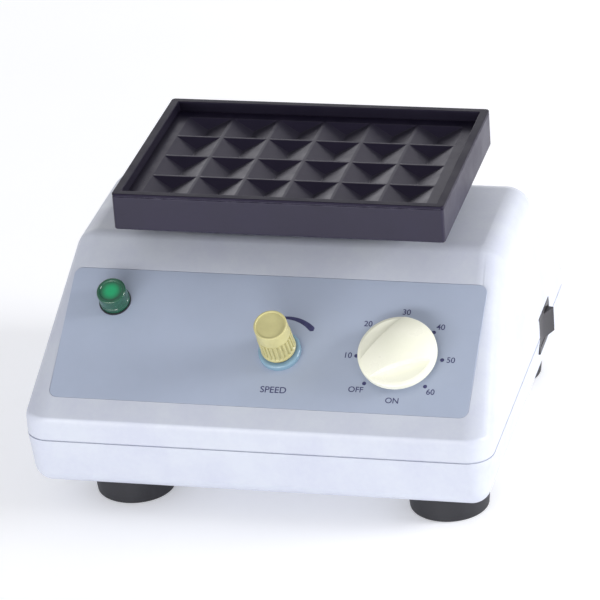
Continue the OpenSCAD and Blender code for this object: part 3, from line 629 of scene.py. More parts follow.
def lamp_lens():
    """Green lens with a painted glow of its bulb: base colour brighter in the middle of its face, where the bulb
    sits behind it.
    """
    material, tree, shader = new_material("lamp_green")
    centre = panel_frame(*LAMP_PLACE).inverted()
    local = put(tree, "ShaderNodeMapping", {"Vector": surface(tree), "Location": centre.translation,
                                            "Rotation": centre.to_euler()}).outputs[0]
    flat = vector_maths(tree, "MULTIPLY", local, (1, 1, 0))[0]
    out = vector_maths(tree, "LENGTH", flat)["Value"]
    # Painted glow: the lens colour turns bright green towards the middle of its face
    glow = remap(tree, out, 0.0058, 0.0015, interpolation_type="SMOOTHSTEP")
    height = put(tree, "ShaderNodeSeparateXYZ", {0: local}).outputs["Z"]
    # The painted glow is weaker on the lens's sides than on its face
    front = remap(tree, height, 0.0078, 0.0088, start=0.25)
    mask = effect(tree, "Mottle", Scale=300.0, Speckle=0.3)
    edge = blend_colours(tree, mask, (0.008, 0.075, 0.04), (0.012, 0.10, 0.055))
    feed(tree, shader, {
        "Base Color": blend_colours(tree, times(tree, glow, front), edge, (0.0, 0.34, 0.13)),
        "Normal": bump(tree, effect(tree, "Grain", Scale=900.0, Pits=0.3), 0.25, 0.00002),
        "Roughness": 0.22, "Coat Weight": 0.6})
    return material


def tube_glass():
    """Clear glass tube with faint smears."""
    material, tree, shader = new_material("fuse_glass")
    mask = effect(tree, "Mottle", Scale=250.0, Speckle=0.3)
    feed(tree, shader, {"Base Color": blend_colours(tree, mask, (0.85, 0.88, 0.9), (0.78, 0.8, 0.8)),
                        "Roughness": times(tree, mask, 0.2), "Transmission Weight": 0.9})
    return material


def panel_sheet():
    """Satin printed sheet in a pale blue grey."""
    colour = tuple(bpy.context.scene.mixer_controls.sheet_colour)
    return moulded("panel_sheet", colour, [c * 0.94 for c in colour], 0.42, scale=22, grain=1800,
                   depth=0.00001, wear=0.0, dust=0.03, coat=0.15)


def panel_ink():
    """Dark printing ink, a little uneven."""
    ink, tree, shader = new_material("panel_ink")
    colour = tuple(bpy.context.scene.mixer_controls.ink_colour)
    mask = effect(tree, "Mottle", Scale=400.0, Speckle=0.5)
    feed(tree, shader, {"Base Color": blend_colours(tree, mask, colour, [c * 1.4 + 0.01 for c in colour]),
                        "Roughness": 0.45})
    return ink


def shell_plastic():
    """Pale moulded housing plastic with a fine mottled texture."""
    red, green, blue = bpy.context.scene.mixer_housing.colour
    return moulded("housing_plastic", (red, green, blue), (red * 0.93, green * 0.925, blue * 0.965), 0.4,
                   scale=55, grain=1300, depth=0.00005, wear=0.12, worn_colour=(0.72, 0.73, 0.8), dust=0.02,
                   speckle=0.8)


# Colour, shaded colour, roughness and what else differs from the usual
MOULDED = {
    "foot_rubber": ((0.012, 0.012, 0.016), (0.02, 0.02, 0.025), 0.6,
                    dict(scale=90, grain=1400, depth=0.00006, wear=0.5, dust=0.1)),
    "dark_plastic": ((0.012, 0.011, 0.015), (0.018, 0.016, 0.022), 0.4, dict(scale=80, wear=0.4, dust=0.06)),
    "collar_plastic": ((0.24, 0.38, 0.48), (0.20, 0.33, 0.43), 0.2,
                       dict(scale=120, grain=900, wear=0.2, dust=0.02, coat=0.5)),
    "speed_plastic": ((0.56, 0.52, 0.25), (0.49, 0.45, 0.21), 0.38,
                      dict(scale=90, grain=1200, dust=0.03, coat=0.1)),
    "timer_plastic": ((0.90, 0.89, 0.76), (0.87, 0.87, 0.72), 0.3,
                      dict(scale=50, grain=900, depth=0.00001, wear=0.1, worn_colour=(0.93, 0.93, 0.86),
                           dust=0.02, coat=0.3)),
    "timer_case": ((0.58, 0.57, 0.50), (0.5, 0.49, 0.42), 0.5, {}),
    # tray_black is the outer walls of the tray, lighter than the plastic's own colour as a painted reflection of
    # the white table; tray_inside is the same plastic painted near-black as shade on the rim, the inside and the
    # underside
    "tray_black": ((0.017, 0.013, 0.036), (0.013, 0.010, 0.029), 0.42,
                   dict(scale=40, grain=1000, depth=0.00004, wear=0.5, worn_colour=(0.16, 0.15, 0.21),
                        dust=0.03, own={"Specular IOR Level": 0.4})),
    "tray_inside": ((0.006, 0.005, 0.011), (0.009, 0.008, 0.015), 0.5,
                    dict(scale=60, grain=1200, depth=0.00001, worn_colour=(0.06, 0.055, 0.08), dust=0.0,
                         own={"Specular Tint": VIOLET, "Specular IOR Level": 0.3})),
    "mat_rubber": ((0.005, 0.004, 0.010), (0.008, 0.006, 0.014), 0.33,
                   dict(scale=120, grain=1100, wear=0.35, worn_colour=(0.07, 0.065, 0.09), dust=0.0,
                        own={"Specular Tint": VIOLET, "Specular IOR Level": 0.38})),
    "board_green": ((0.02, 0.14, 0.05), (0.015, 0.10, 0.04), 0.3, dict(coat=0.3)),
    "capacitor_yellow": ((0.72, 0.42, 0.03), (0.62, 0.36, 0.03), 0.4, {}),
    "terminal_green": ((0.03, 0.19, 0.08), (0.025, 0.15, 0.06), 0.45, {}),
}
# Colour, shaded colour, roughness and, where it isn't the usual one, the scale of the streaks
METALS = {
    "screw_steel": ((0.62, 0.62, 0.64), (0.5, 0.5, 0.52), 0.3),
    "plate_steel": ((0.55, 0.56, 0.58), (0.46, 0.47, 0.5), 0.42, 500),
    "motor_steel": ((0.4, 0.4, 0.42), (0.32, 0.32, 0.35), 0.45),
    "bearing_bronze": ((0.55, 0.33, 0.13), (0.42, 0.25, 0.1), 0.4),
    "bearing_steel": ((0.6, 0.6, 0.62), (0.52, 0.52, 0.55), 0.25),
    "brass": ((0.68, 0.47, 0.16), (0.55, 0.37, 0.12), 0.35),
    "crank_brass": ((0.62, 0.42, 0.15), (0.5, 0.33, 0.11), 0.38),
    "carrier_alloy": ((0.62, 0.63, 0.65), (0.54, 0.55, 0.57), 0.4, 700),
    "black_alloy": ((0.06, 0.06, 0.065), (0.04, 0.04, 0.045), 0.45),
}
OTHERS = {"housing_plastic": shell_plastic, "panel_sheet": panel_sheet, "lamp_green": lamp_lens,
          "fuse_glass": tube_glass}
MADE = {}


def finish_for(name):
    """The material of that name, made once."""
    if name not in MADE:
        if name in MOULDED:
            *tones, extras = MOULDED[name]
            MADE[name] = moulded(name, *tones, **extras)
        elif name in METALS:
            MADE[name] = metal(name, *METALS[name])
        else:
            MADE[name] = OTHERS[name]()
    return MADE[name]


# ---- shapes of the shells ----

def plan_ring(inset, z, radius):
    """Points round the housing at one height."""
    outline = rounded_rect(2 * (SIDE_X - inset), 2 * (HALF_DEPTH - inset), radius, steps=14)
    return [Vector((x, y, z)) for x, y in outline]


def cover_solid(look, inset):
    """Outline of the cover, drawn in by inset on every side but the bottom."""
    radius = look.corner_radius
    fold_z = TOP_Z - radius
    rise = fold_z - look.ridge_height
    front = -HALF_DEPTH + look.ridge_draw + (radius + PANEL_NORMAL.z * rise) / -PANEL_NORMAL.y
    lean = look.back_lean
    back = HALF_DEPTH - look.ridge_draw - (radius + math.sin(lean) * rise) / math.cos(lean)
    side = SIDE_X - look.side_draw - radius
    bottom = SEAM_Z - (MM if inset else 0)
    points = plan_ring(inset, bottom, radius - inset)
    steps = 6
    for i in range(steps + 1):
        angle = math.pi / 2 * i / steps
        draw = look.ridge_draw * (1 - math.cos(angle))
        z = look.ridge_height - look.ridge_soft * (1 - math.sin(angle)) - inset / 2
        points += plan_ring(inset + draw, z, radius - inset)
    for x in (-side, side):
        for y in (front, back):
            points += ball_points((x, y, fold_z), radius - inset)
    return hull(points)


def base_solid(look, inset):
    """Outline of the base, drawn in by inset."""
    top = SEAM_Z - look.seam + (MM if inset else 0)
    points = plan_ring(inset, top, look.corner_radius - inset)
    x = SIDE_X - look.base_draw - look.base_edge
    y = HALF_DEPTH - look.base_draw - look.base_edge
    for sx in (-1, 1):
        for sy in (-1, 1):
            points += ball_points((sx * x, sy * y, BASE_Z + look.base_edge), look.base_edge - inset, steps=18)
    return hull(points)


def seat_cutters():
    """Cutters for the switch and the inlet: a seat for each flange and a way through the wall."""
    fit, rim, through, out = 0.2 * MM, 2 * MM, 8 * MM, 4 * MM
    cutters = []
    for node, axis, wall, seat in (("switch_body", 0, SIDE_X, 1.6 * MM),
                                   ("power_inlet", 1, HALF_DEPTH, 1.4 * MM)):
        low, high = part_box(node)
        for inset, start, end in ((-fit, wall - seat, wall + out), (rim, wall - through, wall)):
            near, far = low + Vector((inset, inset, inset)), high - Vector((inset, inset, inset))
            near[axis], far[axis] = start, end
            cutters.append(block(near, far))
    return cutters


def corners(low, high, inset):
    """The four (x, y) places that stand in by inset from the corners of a box."""
    return [(x, y) for x in (low.x + inset, high.x - inset) for y in (low.y + inset, high.y - inset)]


def panel_holes(low, high):
    """Cutters for the holes that the two knobs' shafts and the lamp pass through."""
    return [rod(HOLE_R, low, high, panel_frame(*place)) for place in (SPEED_PLACE, TIMER_PLACE, LAMP_PLACE)]


# ---- operators: one for each piece or group of like pieces ----

class MIXER_OT_stage(bpy.types.Operator):
    """Add the floor, the camera and the studio lights"""
    bl_idname = "mixer.stage"
    bl_label = "Stage"

    def execute(self, context):
        look = context.scene.mixer_stage
        reach = 12
        floor = loose_object("floor", block((-reach, -reach, -0.02), (reach, reach, 0)))
        material, tree, shader = new_material("floor_paper")
        colour = tuple(look.floor_colour)
        patches = effect(tree, "Mottle", Scale=8.0, Speckle=0.1)
        feed(tree, shader, {
            "Base Color": blend_colours(tree, patches, colour, [c * 0.985 for c in colour]),
            "Roughness": 0.9, "Emission Color": (0.97, 0.98, 1, 1), "Emission Strength": look.floor_glow})
        floor.data.materials.append(material)
        self.place_camera(context.scene, look)
        for name, spot, size, power in (("key_light", (1.4, 0.1, 0.5), (0.6, 0.6), look.key_power),
                                        ("fill_light", (-0.3, -1.6, 0.2), (1.6, 0.3), look.fill_power),
                                        ("backdrop_light", (-0.2, 1.7, 0.45), (2.6, 0.8), look.back_power)):
            self.place_light(name, Vector(spot), size, power)
        world = bpy.data.worlds.new("studio")
        world.use_nodes = True
        sky = world.node_tree.nodes["Background"].inputs
        sky["Color"].default_value = (0.96, 0.97, 1.0, 1)
        sky["Strength"].default_value = look.sky
        context.scene.world = world
        context.scene.view_settings.view_transform = "Standard"
        return {"FINISHED"}

    def place_camera(self, scene, look):
        """Camera at its swing and height round the mixer, with the picture's tilt."""
        target = Vector((0, -7 * MM, 65 * MM))
        away = Vector((math.sin(look.azimuth) * math.cos(look.elevation),
                       -math.cos(look.azimuth) * math.cos(look.elevation), math.sin(look.elevation)))
        level = Vector((0, 0, 1)).cross(away).normalized()
        upright = away.cross(level)
        right = math.cos(look.roll) * level + math.sin(look.roll) * upright
        up = -math.sin(look.roll) * level + math.cos(look.roll) * upright
        data = bpy.data.cameras.new("camera")
        data.sensor_width = 36
        data.lens = look.lens
        data.shift_x, data.shift_y = 0.0092, 0.0190
        data.clip_end = 50
        camera = bpy.data.objects.new("camera", data)
        turn = Matrix((right, up, away)).transposed().to_4x4()
        camera.matrix_world = Matrix.Translation(target + away * look.distance) @ turn
        scene.collection.objects.link(camera)
        scene.camera = camera

    def place_light(self, name, spot, size, power):
        """Oblong area light that faces the middle of the mixer."""
        data = bpy.data.lights.new(name, "AREA")
        data.shape = "RECTANGLE"
        data.size, data.size_y = size
        data.energy = power
        light = bpy.data.objects.new(name, data)
        away = (spot - Vector((0, 0, 70 * MM))).to_track_quat("Z", "Y")
        light.matrix_world = Matrix.Translation(spot) @ away.to_matrix().to_4x4()
        bpy.context.scene.collection.objects.link(light)


class MIXER_OT_frame_finishes(bpy.types.Operator):
    """Give every fixed frame part the finish of its slot"""
    bl_idname = "mixer.frame_finishes"
    bl_label = "Frame finishes"

    def execute(self, context):
        for part in frame["record"]["subparts"]:
            obj = frame["nodes"][part["node"]]
            material = finish_for(part["material_slot"])
            if not obj.material_slots:
                obj.data.materials.append(material)
            for slot in obj.material_slots:
                slot.material = material
        return {"FINISHED"}


class MIXER_OT_cover(bpy.types.Operator):
    """Build the upper shell with its panel pocket and openings"""
    bl_idname = "mixer.cover"
    bl_label = "Cover"

    def execute(self, context):
        look = context.scene.mixer_housing
        room = 0.2 * MM
        cover = loose_object("cover", cover_solid(look, 0))
        pocket = prism(rounded_rect(SHEET_W + 2 * room, SHEET_H + 2 * room,
                                    context.scene.mixer_controls.sheet_corner + room), -0.5 * MM, 5 * MM)
        pocket.transform(panel_frame(0, SHEET_H / 2))
        drive_hole_r = 9 * MM
        deck_holes = [(0, node_centre("deck_plate").y, drive_hole_r)]
        deck_holes += [(*JOINTS[f"idler_{index}_turn"]["pos_m"][:2], HOLE_R) for index in IDLERS]
        holes = panel_holes(-8 * MM, 4 * MM)
        holes += [rod(radius, TOP_Z - 8 * MM, TOP_Z + MM, at(x, y)) for x, y, radius in deck_holes]
        carve(cover, [cover_solid(look, look.wall), pocket, merged(holes)] + seat_cutters())
        finish(cover, "housing", "housing_plastic", ("cover_shell",), sharp=20)
        return {"FINISHED"}


class MIXER_OT_base(bpy.types.Operator):
    """Build the lower shell with its seam lip, air slots and screw wells"""
    bl_idname = "mixer.base"
    bl_label = "Base"

    def execute(self, context):
        look = context.scene.mixer_housing
        base = loose_object("base", base_solid(look, 0))
        carve(base, [self.layer(look, look.seam, SEAM_Z - 2 * MM, SEAM_Z - 0.02 * MM)], "UNION")
        well = self.layer(look, look.wall, SEAM_Z - 4 * MM, SEAM_Z + 4 * MM)
        slot_w, slot_l, slot_end, slot_pitch = 3 * MM, 34 * MM, 1.49 * MM, 8 * MM
        openings = []
        for i in range(-4, 5):
            slot = prism(rounded_rect(slot_w, slot_l, slot_end, 6), BASE_Z - MM, BASE_Z + 5 * MM)
            slot.transform(at(i * slot_pitch, node_centre("deck_plate").y))
            openings.append(slot)
        low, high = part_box("cover_screws")
        head_r, screw_well_r = 3.2 * MM, 4 * MM
        openings += [rod(screw_well_r, BASE_Z - MM, BASE_Z + 6 * MM, at(*spot))
                     for spot in corners(low, high, head_r)]
        carve(base, [base_solid(look, look.wall), well, merged(openings)] + seat_cutters())
        finish(base, "housing", "housing_plastic", ("base_shell",), sharp=20)
        return {"FINISHED"}

    def layer(self, look, inset, low, high):
        """Flat solid on the housing's plan, drawn in by inset."""
        outline = rounded_rect(2 * (SIDE_X - inset), 2 * (HALF_DEPTH - inset), look.corner_radius - inset, 14)
        return prism(outline, low, high)


class MIXER_OT_panel_sheet(bpy.types.Operator):
    """Build the printed sheet that lies in the panel"""
    bl_idname = "mixer.panel_sheet"
    bl_label = "Panel sheet"

    def execute(self, context):
        radius = context.scene.mixer_controls.sheet_corner

        def outline(inset):
            return rounded_rect(SHEET_W - 2 * inset, SHEET_H - 2 * inset, radius - inset)

        sheet = soft_prism(outline, -0.5 * MM, 0.0, 0.15 * MM, steps=3)
        sheet.transform(panel_frame(0, SHEET_H / 2))
        piece = loose_object("panel_sheet", sheet)
        carve(piece, panel_holes(-2 * MM, 2 * MM))
        finish(piece, "housing", "panel_sheet", ("front_label",))
        return {"FINISHED"}


class MIXER_OT_dial_marks(bpy.types.Operator):
    """Print the dial dots, the numbers and the speed wedge on the sheet"""
    bl_idname = "mixer.dial_marks"
    bl_label = "Dial marks"

    def execute(self, context):
        look = context.scene.mixer_controls
        height = look.numeral_height
        dot_r, word_gap, letter_gap = 0.95 * MM, 2.2 * MM, 0.9 * MM
        parts = []
        for angle, word in {225: "OFF", 180: "10", 135: "20", 90: "30", 45: "40", 0: "50", -45: "60"}.items():
            out = Vector((math.cos(math.radians(angle)), math.sin(math.radians(angle))))
            dot = out * look.dial_radius
            spot = out * (look.dial_radius + word_gap + letter_gap * len(word))
            parts.append(rod(dot_r, -PRINT_H, PRINT_H,
                             panel_frame(TIMER_PLACE[0] + dot.x, KNOB_V + dot.y), segments=24))
            parts.append(self.lettering(word, height, TIMER_PLACE[0] + spot.x, spot.y))
        on_gap, speed_height, speed_drop = 2.4 * MM, 3.4 * MM, 20 * MM
        parts.append(self.lettering("ON", height, TIMER_PLACE[0], -look.dial_radius - on_gap))
        parts.append(self.lettering("SPEED", speed_height, SPEED_PLACE[0], -speed_drop))
        parts.append(self.speed_wedge(look.arc_radius))
        finish(loose_object("dial_marks", merged(parts)), "housing", "panel_sheet", material=panel_ink())
        return {"FINISHED"}

    def lettering(self, word, height, x, above):
        """Printed word as a thin solid, centred on its place above or below the line of the knobs."""
        curve = bpy.data.curves.new("word", "FONT")
        curve.body = word
        curve.size = height * FONT_SIZE
        curve.extrude = PRINT_H
        curve.offset = 0.03 * MM
        curve.align_x = "CENTER"
        curve.align_y = "CENTER"
        holder = bpy.data.objects.new("word", curve)
        bpy.context.scene.collection.objects.link(holder)
        depsgraph = bpy.context.evaluated_depsgraph_get()
        mesh = bpy.data.meshes.new_from_object(holder.evaluated_get(depsgraph))
        bm = bmesh.new()
        bm.from_mesh(mesh)
        bmesh.ops.remove_doubles(bm, verts=bm.verts, dist=1e-7)
        bm.transform(panel_frame(x, KNOB_V + above))
        bpy.data.objects.remove(holder)
        bpy.data.curves.remove(curve)
        bpy.data.meshes.remove(mesh)
        return bm

    def speed_wedge(self, radius):
        """Curved wedge that widens clockwise to a blunt round end."""
        start, end, steps = math.radians(118), math.radians(41), 28
        thin, thick = 0.5 * MM, 3.0 * MM
        blunt = 0.94
        inner, outer = [], []
        for i in range(steps + 1):
            share = i / steps
            angle = start + (end - start) * share
            tip = math.sqrt(max(0.0, 1 - max(0.0, (share - blunt) / (1 - blunt)) ** 2))
            half = max((thin + (thick - thin) * share) / 2 * tip, PRINT_H)
            for edge, reach in ((inner, radius - half), (outer, radius + half)):
                edge.append((reach * math.cos(angle), reach * math.sin(angle)))
        bm = prism(inner + outer[::-1], -PRINT_H, PRINT_H)
        bm.transform(panel_frame(*SPEED_PLACE))
        return bm


class MIXER_OT_lamp(bpy.types.Operator):
    """Build the pilot lamp's lens on its bezel"""
    bl_idname = "mixer.lamp"
    bl_label = "Lamp"

    def execute(self, context):
        place = panel_frame(*LAMP_PLACE)
        lens = lathed([(0, 0.8, 0), (7.2, 0.8, 0), (7.2, 3.4, 0), (7.0, 3.6, 0), (6.95, 9.7, 0.9),
                       (5.4, 9.75, 0.3), (5.1, 9.2, 0.3), (0, 9.6, 0)], place)
        finish(loose_object("lamp_cap", lens), "housing", "lamp_green", ("lamp_lens",), sharp=40)
        bezel = lathed([(0, -2, 0), (5, -2, 0), (5, 0, 0), (7.5, 0, 0), (7.5, 0.8, 0.4), (7.2, 0.8, 0),
                        (0, 0.79, 0)], place)
        finish(loose_object("lamp_bezel", bezel), "housing", "dark_plastic")
        return {"FINISHED"}


class MIXER_OT_speed_knob(bpy.types.Operator):
    """Build the ribbed speed knob and the collar under it"""
    bl_idname = "mixer.speed_knob"
    bl_label = "Speed knob"

    def execute(self, context):
        place = panel_frame(*SPEED_PLACE)
        low, shelf, high = 4.4, 16.4, 24.9  # all in millimetres
        body = lathed([(0, low + 2, 0), (3.1, low + 2, 0), (3.1, low, 0), (8.3, low, 0.4),
                       (8.2, low + 1.2, 0.3), (7.45, low + 2, 0.3), (7.3, shelf, 0),
                       (7.85, shelf + 0.6, 0.3), (7.75, high, 0.5), (6.9, high, 0.25),
                       (6.7, high - 0.6, 0.2), (0, high - 0.45, 0)], place)
        finish(loose_object("speed_knob_body", body), "speed_control", "speed_plastic",
               ("speed_knob", "speed_knob_cap"), sharp=40)
        self.add_ribs(context.scene.mixer_controls.ribs, place, (low + 1.2) * MM, (shelf + 0.5) * MM)
        collar = lathed([(7.2, 0, 0), (10, 0, 0.3), (10, 3, 1.3), (7.2, 3, 0.5)], place, steps=6, bored=True)
        finish(loose_object("speed_collar_ring", collar), "housing", "collar_plastic", ("speed_collar",),
               sharp=50)
        return {"FINISHED"}

    def add_ribs(self, count, place, low, high):
        """Ring of rounded ribs from a node tree."""
        tree, given, out = new_group("Knob Ribs", "GeometryNodeTree", {
            "Count": 24, "Radius": 0.007, "Rib Radius": 0.0004, "Length": 0.01, "Material": "Material"},
            "Geometry")
        ring = put(tree, "GeometryNodeCurvePrimitiveCircle",
                   {"Resolution": given["Count"], "Radius": given["Radius"]})
        rib = put(tree, "GeometryNodeMeshCylinder",
                  {"Vertices": 10, "Radius": given["Rib Radius"], "Depth": given["Length"]}, fill_type="NGON")
        spots = put(tree, "GeometryNodeCurveToPoints", {"Curve": ring.outputs[0]}, mode="EVALUATED")
        outwards = put(tree, "GeometryNodeInputPosition").outputs[0]
        face = put(tree, "FunctionNodeAlignRotationToVector", {"Vector": outwards}, axis="Y")
        placed = put(tree, "GeometryNodeInstanceOnPoints",
                     {"Points": spots.outputs[0], "Instance": rib.outputs[0], "Rotation": face.outputs[0]})
        end_tree(tree, placed.outputs[0], given["Material"], out)
        ribs = grown("speed_knob_ribs", tree, {"Count": count, "Radius": 7.45 * MM, "Rib Radius": 0.62 * MM,
                                               "Length": high - low,
                                               "Material": finish_for("speed_plastic")})
        finish(ribs, "speed_control", "speed_plastic", place=place @ at(0, 0, (low + high) / 2), sharp=50)


class MIXER_OT_timer_knob(bpy.types.Operator):
    """Build the timer knob: a thin skirt disc and a raised wedge grip"""
    bl_idname = "mixer.timer_knob"
    bl_label = "Timer knob"

    def execute(self, context):
        radius, low, rim, crown = 18.3, 3, 7, 12.5  # all in millimetres
        skirt = lathed([(0, low + 1.6, 0), (15, low + 1.6, 0), (15.8, low, 0), (radius, low, 0.5),
                        (radius, rim - 0.9, 0.8), (radius - 1.6, rim - 0.15, 1), (0, rim, 0)],
                       segments=96)
        knob = loose_object("timer_knob_body", skirt)
        grip = soft_prism(self.grip_outline, (rim - 1) * MM, (crown + 2) * MM, 0.1 * MM, steps=1)
        rest_turn = math.radians(-52)
        grip.transform(Matrix.Rotation(rest_turn, 4, "Z"))
        lump = loose_object("grip", grip)
        dome_r = (radius ** 2 + (crown - rim) ** 2) / (2 * (crown - rim))
        carve(lump, [self.dome(dome_r, crown)], "INTERSECT")
        bevelled(lump, 1.1 * MM, segments=4, angle=35)
        carve(knob, [lump], "UNION")
        finish(knob, "timer_control", "timer_plastic", ("timer_knob",), place=panel_frame(*TIMER_PLACE),
               sharp=38)
        return {"FINISHED"}

    def dome(self, dome_r, crown):
        """Shallow cap of a large ball with its top at the height of the crown, in millimetres."""
        steps = 12
        reach = math.asin(20 / dome_r)
        arc = []
        for i in range(steps):
            angle = reach * (1 - i / steps)
            arc.append((dome_r * math.sin(angle), crown - dome_r + dome_r * math.cos(angle), 0))
        return lathed([(0, 0, 0), (arc[0][0], 0, 0)] + arc + [(0, crown, 0)], segments=96)

    def grip_outline(self, inset):
        """Wedge with hollow flanks inside the skirt's circle, narrow end towards -Y, drawn in by inset."""
        reach = 17.5 * MM - inset
        narrow, wide, hollow = 4.9 * MM - inset, 13.2 * MM - inset, 0.7 * MM
        low_y, high_y = -math.sqrt(reach ** 2 - narrow ** 2), math.sqrt(reach ** 2 - wide ** 2)
        right = []
        for i in range(13):
            share = i / 12
            right.append((narrow + (wide - narrow) * share - hollow * math.sin(math.pi * share),
                          low_y + (high_y - low_y) * share))
        a_wide, a_narrow = math.atan2(high_y, wide), math.atan2(low_y, -narrow)
        over = [a_wide + (math.pi - 2 * a_wide) * i / 16 for i in range(1, 16)]
        under = [a_narrow + (-math.pi / 2 - a_narrow) * 2 * i / 10 for i in range(1, 10)]
        return (right + [(reach * math.cos(a), reach * math.sin(a)) for a in over]
                + [(-x, y) for x, y in reversed(right)]
                + [(reach * math.cos(a), reach * math.sin(a)) for a in under])


class MIXER_OT_tray(bpy.types.Operator):
    """Build the tray with its rounded rim and the fine line under it"""
    bl_idname = "mixer.tray"
    bl_label = "Tray"

    def execute(self, context):
        look = context.scene.mixer_tray
        low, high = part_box("tray")
        width, depth = high.x - low.x, high.y - low.y
        bottom, rim = low.z, high.z
        lip, floor_z = rim - 1.1 * MM, bottom + look.floor
        wall, ease, step = look.wall, 0.5 * MM, 0.35 * MM
        section = [(6 * MM, bottom)]
        section += eased([(0, bottom, 0.8 * MM), (0, lip - 0.7 * MM, 0), (step, lip - 0.5 * MM, 0),
                          (step, lip - 0.2 * MM, 0), (0, lip, 0), (0, rim, ease), (wall, rim, ease),
                          (wall + 0.3 * MM, floor_z, 0.6 * MM), (wall + 8 * MM, floor_z, 0)], steps=4)
        rings = []
        for inset, z in section:
            inset = max(inset, 0)
            rings.append([(x, y, z) for x, y in rounded_rect(
                width - 2 * inset, depth - 2 * inset, max(look.corner - inset * 0.5, 0.8 * MM), 8)])
        middle = (low + high) / 2
        pan = finish(loose_object("tray_pan", skin(rings)), "tray", "tray_black", ("tray",),
                     place=at(middle.x, middle.y))
        # Second, near-black copy of the tray plastic: painted shade on the rim, the inside and the underside
        pan.data.materials.append(finish_for("tray_inside"))
        # Outer walls below the rim keep tray_black, lighter as a painted reflection of the white table; every
        # other face gets the painted shade
        edge = 0.45 * MM
        for face in pan.data.polygons:
            spot = face.center - middle
            outer = abs(spot.x) > width / 2 - edge or abs(spot.y) > depth / 2 - edge
            face.material_index = 0 if outer and face.center.z < lip else 1
        return {"FINISHED"}


class MIXER_OT_mat(bpy.types.Operator):
    """Build the rubber mat with its field of hipped pits"""
    bl_idname = "mixer.mat"
    bl_label = "Mat"

    def execute(self, context):
        look = context.scene.mixer_tray
        low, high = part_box("tray_mat")
        size, middle = high - low, (low + high) / 2
        pitch_x = (size.x - 2 * look.border) / look.columns
        pitch_y = (size.y - 2 * look.border) / look.rows
        cutter = loose_object("pit_cutter", self.pit(pitch_x - look.land, pitch_y - look.land, look))
        mat = grown("pitted_mat", self.pitted_tree(), {
            "Width": size.x, "Depth": size.y, "Thickness": size.z, "Columns": look.columns, "Rows": look.rows,
            "Pitch X": pitch_x, "Pitch Y": pitch_y, "Pit": cutter, "Material": finish_for("mat_rubber")})
        discard(cutter)
        bevelled(mat, 0.3 * MM, segments=2, angle=12)
        finish(mat, "tray", "mat_rubber", ("tray_mat",), place=at(middle.x, middle.y, high.z), sharp=60)
        return {"FINISHED"}

    def pitted_tree(self):
        """Node tree that sinks a grid of pits into the top of a slab."""
        tree, given, out = new_group("Pitted Mat", "GeometryNodeTree", {
            "Width": 0.1, "Depth": 0.1, "Thickness": 0.01, "Columns": 6, "Rows": 4, "Pitch X": 0.02,
            "Pitch Y": 0.02, "Pit": "Object", "Material": "Material"}, "Geometry")
        slab = put(tree, "GeometryNodeMeshCube",
                   {"Size": join_xyz(tree, X=given["Width"], Y=given["Depth"], Z=given["Thickness"])})
        drop = join_xyz(tree, Z=times(tree, given["Thickness"], -0.5))
        sunk = put(tree, "GeometryNodeTransform", {"Geometry": slab.outputs[0], "Translation": drop})
        grid = put(tree, "GeometryNodeMeshGrid", {
            "Size X": times(tree, given["Pitch X"], maths(tree, "SUBTRACT", given["Columns"], 1)),
            "Size Y": times(tree, given["Pitch Y"], maths(tree, "SUBTRACT", given["Rows"], 1)),
            "Vertices X": given["Columns"], "Vertices Y": given["Rows"]})
        pit = put(tree, "GeometryNodeObjectInfo", {"Object": given["Pit"]})
        pits = put(tree, "GeometryNodeInstanceOnPoints",
                   {"Points": grid.outputs[0], "Instance": pit.outputs["Geometry"]})
        real = put(tree, "GeometryNodeRealizeInstances", {"Geometry": pits.outputs[0]})
        cut = put(tree, "GeometryNodeMeshBoolean", {"Mesh 1": sunk.outputs[0]}, operation="DIFFERENCE")
        tree.links.new(real.outputs[0], cut.inputs["Mesh 2"])
        end_tree(tree, cut.outputs["Mesh"], given["Material"], out)
        return tree

    def pit(self, width, depth, look):
        """Upside-down hipped roof with its eaves just above zero."""
        lift = 0.3 * MM
        x = width / 2 * (1 + lift / look.pit_depth)
        y = depth / 2 + look.pit_end * lift / look.pit_depth
        valley = depth / 2 - look.pit_end
        bm = bmesh.new()
        corners = [(-x, -y, lift), (x, -y, lift), (x, y, lift), (-x, y, lift),
                   (0, -valley, -look.pit_depth), (0, valley, -look.pit_depth)]
        points = [bm.verts.new(corner) for corner in corners]
        for face in ((0, 1, 2, 3), (0, 1, 4), (1, 2, 5, 4), (2, 3, 5), (3, 0, 4, 5)):
            bm.faces.new([points[index] for index in face])
        bmesh.ops.recalc_face_normals(bm, faces=bm.faces)
        return bm


class MIXER_OT_switch(bpy.types.Operator):
    """Round off the rocker switch and its frame"""
    bl_idname = "mixer.switch"
    bl_label = "Switch"

    def execute(self, context):
        eased_copy("switch_body", "switch_frame", 0.45 * MM, "housing", "dark_plastic")
        eased_copy("rocker_paddle", "rocker", 0.5 * MM, "rocker", "dark_plastic")
        return {"FINISHED"}


class MIXER_OT_inlet(bpy.types.Operator):
    """Round off the mains inlet and its blades"""
    bl_idname = "mixer.inlet"
    bl_label = "Power inlet"

    def execute(self, context):
        eased_copy("power_inlet", "inlet_socket", 0.4 * MM, "housing", "dark_plastic")
        eased_copy("inlet_blades", "inlet_pins", 0.25 * MM, "housing", "brass")
        return {"FINISHED"}


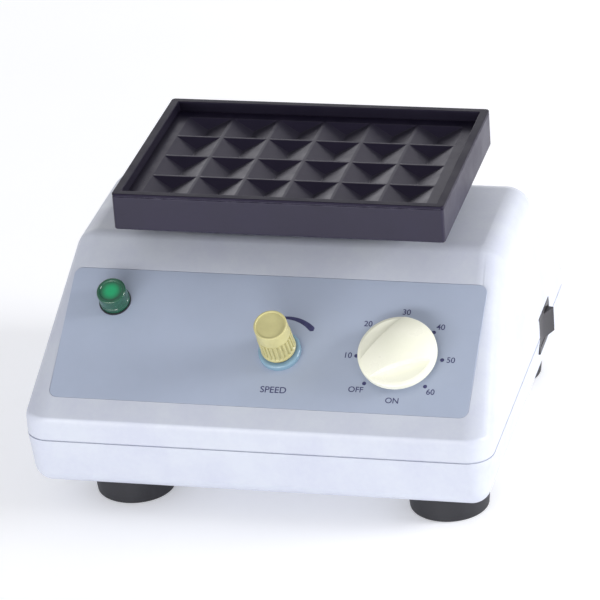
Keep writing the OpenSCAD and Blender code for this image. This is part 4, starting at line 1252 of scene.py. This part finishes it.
class MIXER_OT_feet(bpy.types.Operator):
    """Build the four rubber feet"""
    bl_idname = "mixer.feet"
    bl_label = "Feet"

    def execute(self, context):
        low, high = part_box("feet")
        radius, top = 19.5, high.z / MM  # in millimetres
        profile = [(2.2, 3.2, 0), (4.5, 3.2, 0), (4.5, 0, 0.3), (radius - 1.25, 0, 1.2),
                   (radius, top - 1.4, 0.5), (radius - 1.5, top - 1.2, 0.2), (radius - 1.5, top, 0),
                   (2.2, top, 0)]
        feet = [lathed(profile, at(*spot), segments=64, bored=True)
                for spot in corners(low, high, radius * MM)]
        finish(loose_object("rubber_feet", merged(feet)), "housing", "foot_rubber", ("feet",))
        return {"FINISHED"}


class MIXER_OT_running_gear(bpy.types.Operator):
    """Round off the carrier plate and the cranks under the tray"""
    bl_idname = "mixer.running_gear"
    bl_label = "Running gear"

    def execute(self, context):
        eased_copy("tray_carrier", "carrier_plate", 0.35 * MM, "tray", "carrier_alloy")
        for index in IDLERS:
            eased_copy(f"idler_crank_{index}", f"idler_{index}_link", 0.3 * MM, f"idler_{index}",
                       "bearing_steel")
        return {"FINISHED"}


class MIXER_PT_pieces(bpy.types.Panel):
    """Lists the mixer's pieces in the order they are built"""
    bl_idname = "MIXER_PT_pieces"
    bl_label = "Orbital mixer"
    bl_space_type = "VIEW_3D"
    bl_region_type = "UI"
    bl_category = "Mixer"

    def draw(self, context):
        for piece in PIECES:
            self.layout.operator(piece.bl_idname)


LOOKS = {"mixer_housing": HousingLook, "mixer_controls": ControlLook, "mixer_tray": TrayLook,
         "mixer_stage": StageLook}
PIECES = (MIXER_OT_stage, MIXER_OT_frame_finishes, MIXER_OT_cover, MIXER_OT_base, MIXER_OT_panel_sheet,
          MIXER_OT_dial_marks, MIXER_OT_lamp, MIXER_OT_speed_knob, MIXER_OT_timer_knob, MIXER_OT_tray,
          MIXER_OT_mat, MIXER_OT_switch, MIXER_OT_inlet, MIXER_OT_feet, MIXER_OT_running_gear)


def register():
    for name, look in LOOKS.items():
        bpy.utils.register_class(look)
        setattr(bpy.types.Scene, name, PointerProperty(type=look))
    for piece in PIECES:
        bpy.utils.register_class(piece)
    bpy.utils.register_class(MIXER_PT_pieces)


def unregister():
    bpy.utils.unregister_class(MIXER_PT_pieces)
    for piece in reversed(PIECES):
        bpy.utils.unregister_class(piece)
    for name, look in LOOKS.items():
        delattr(bpy.types.Scene, name)
        bpy.utils.unregister_class(look)


def main():
    register()
    for piece in PIECES:
        group, name = piece.bl_idname.split(".")
        getattr(getattr(bpy.ops, group), name)()


if __name__ == "__main__":
    main()
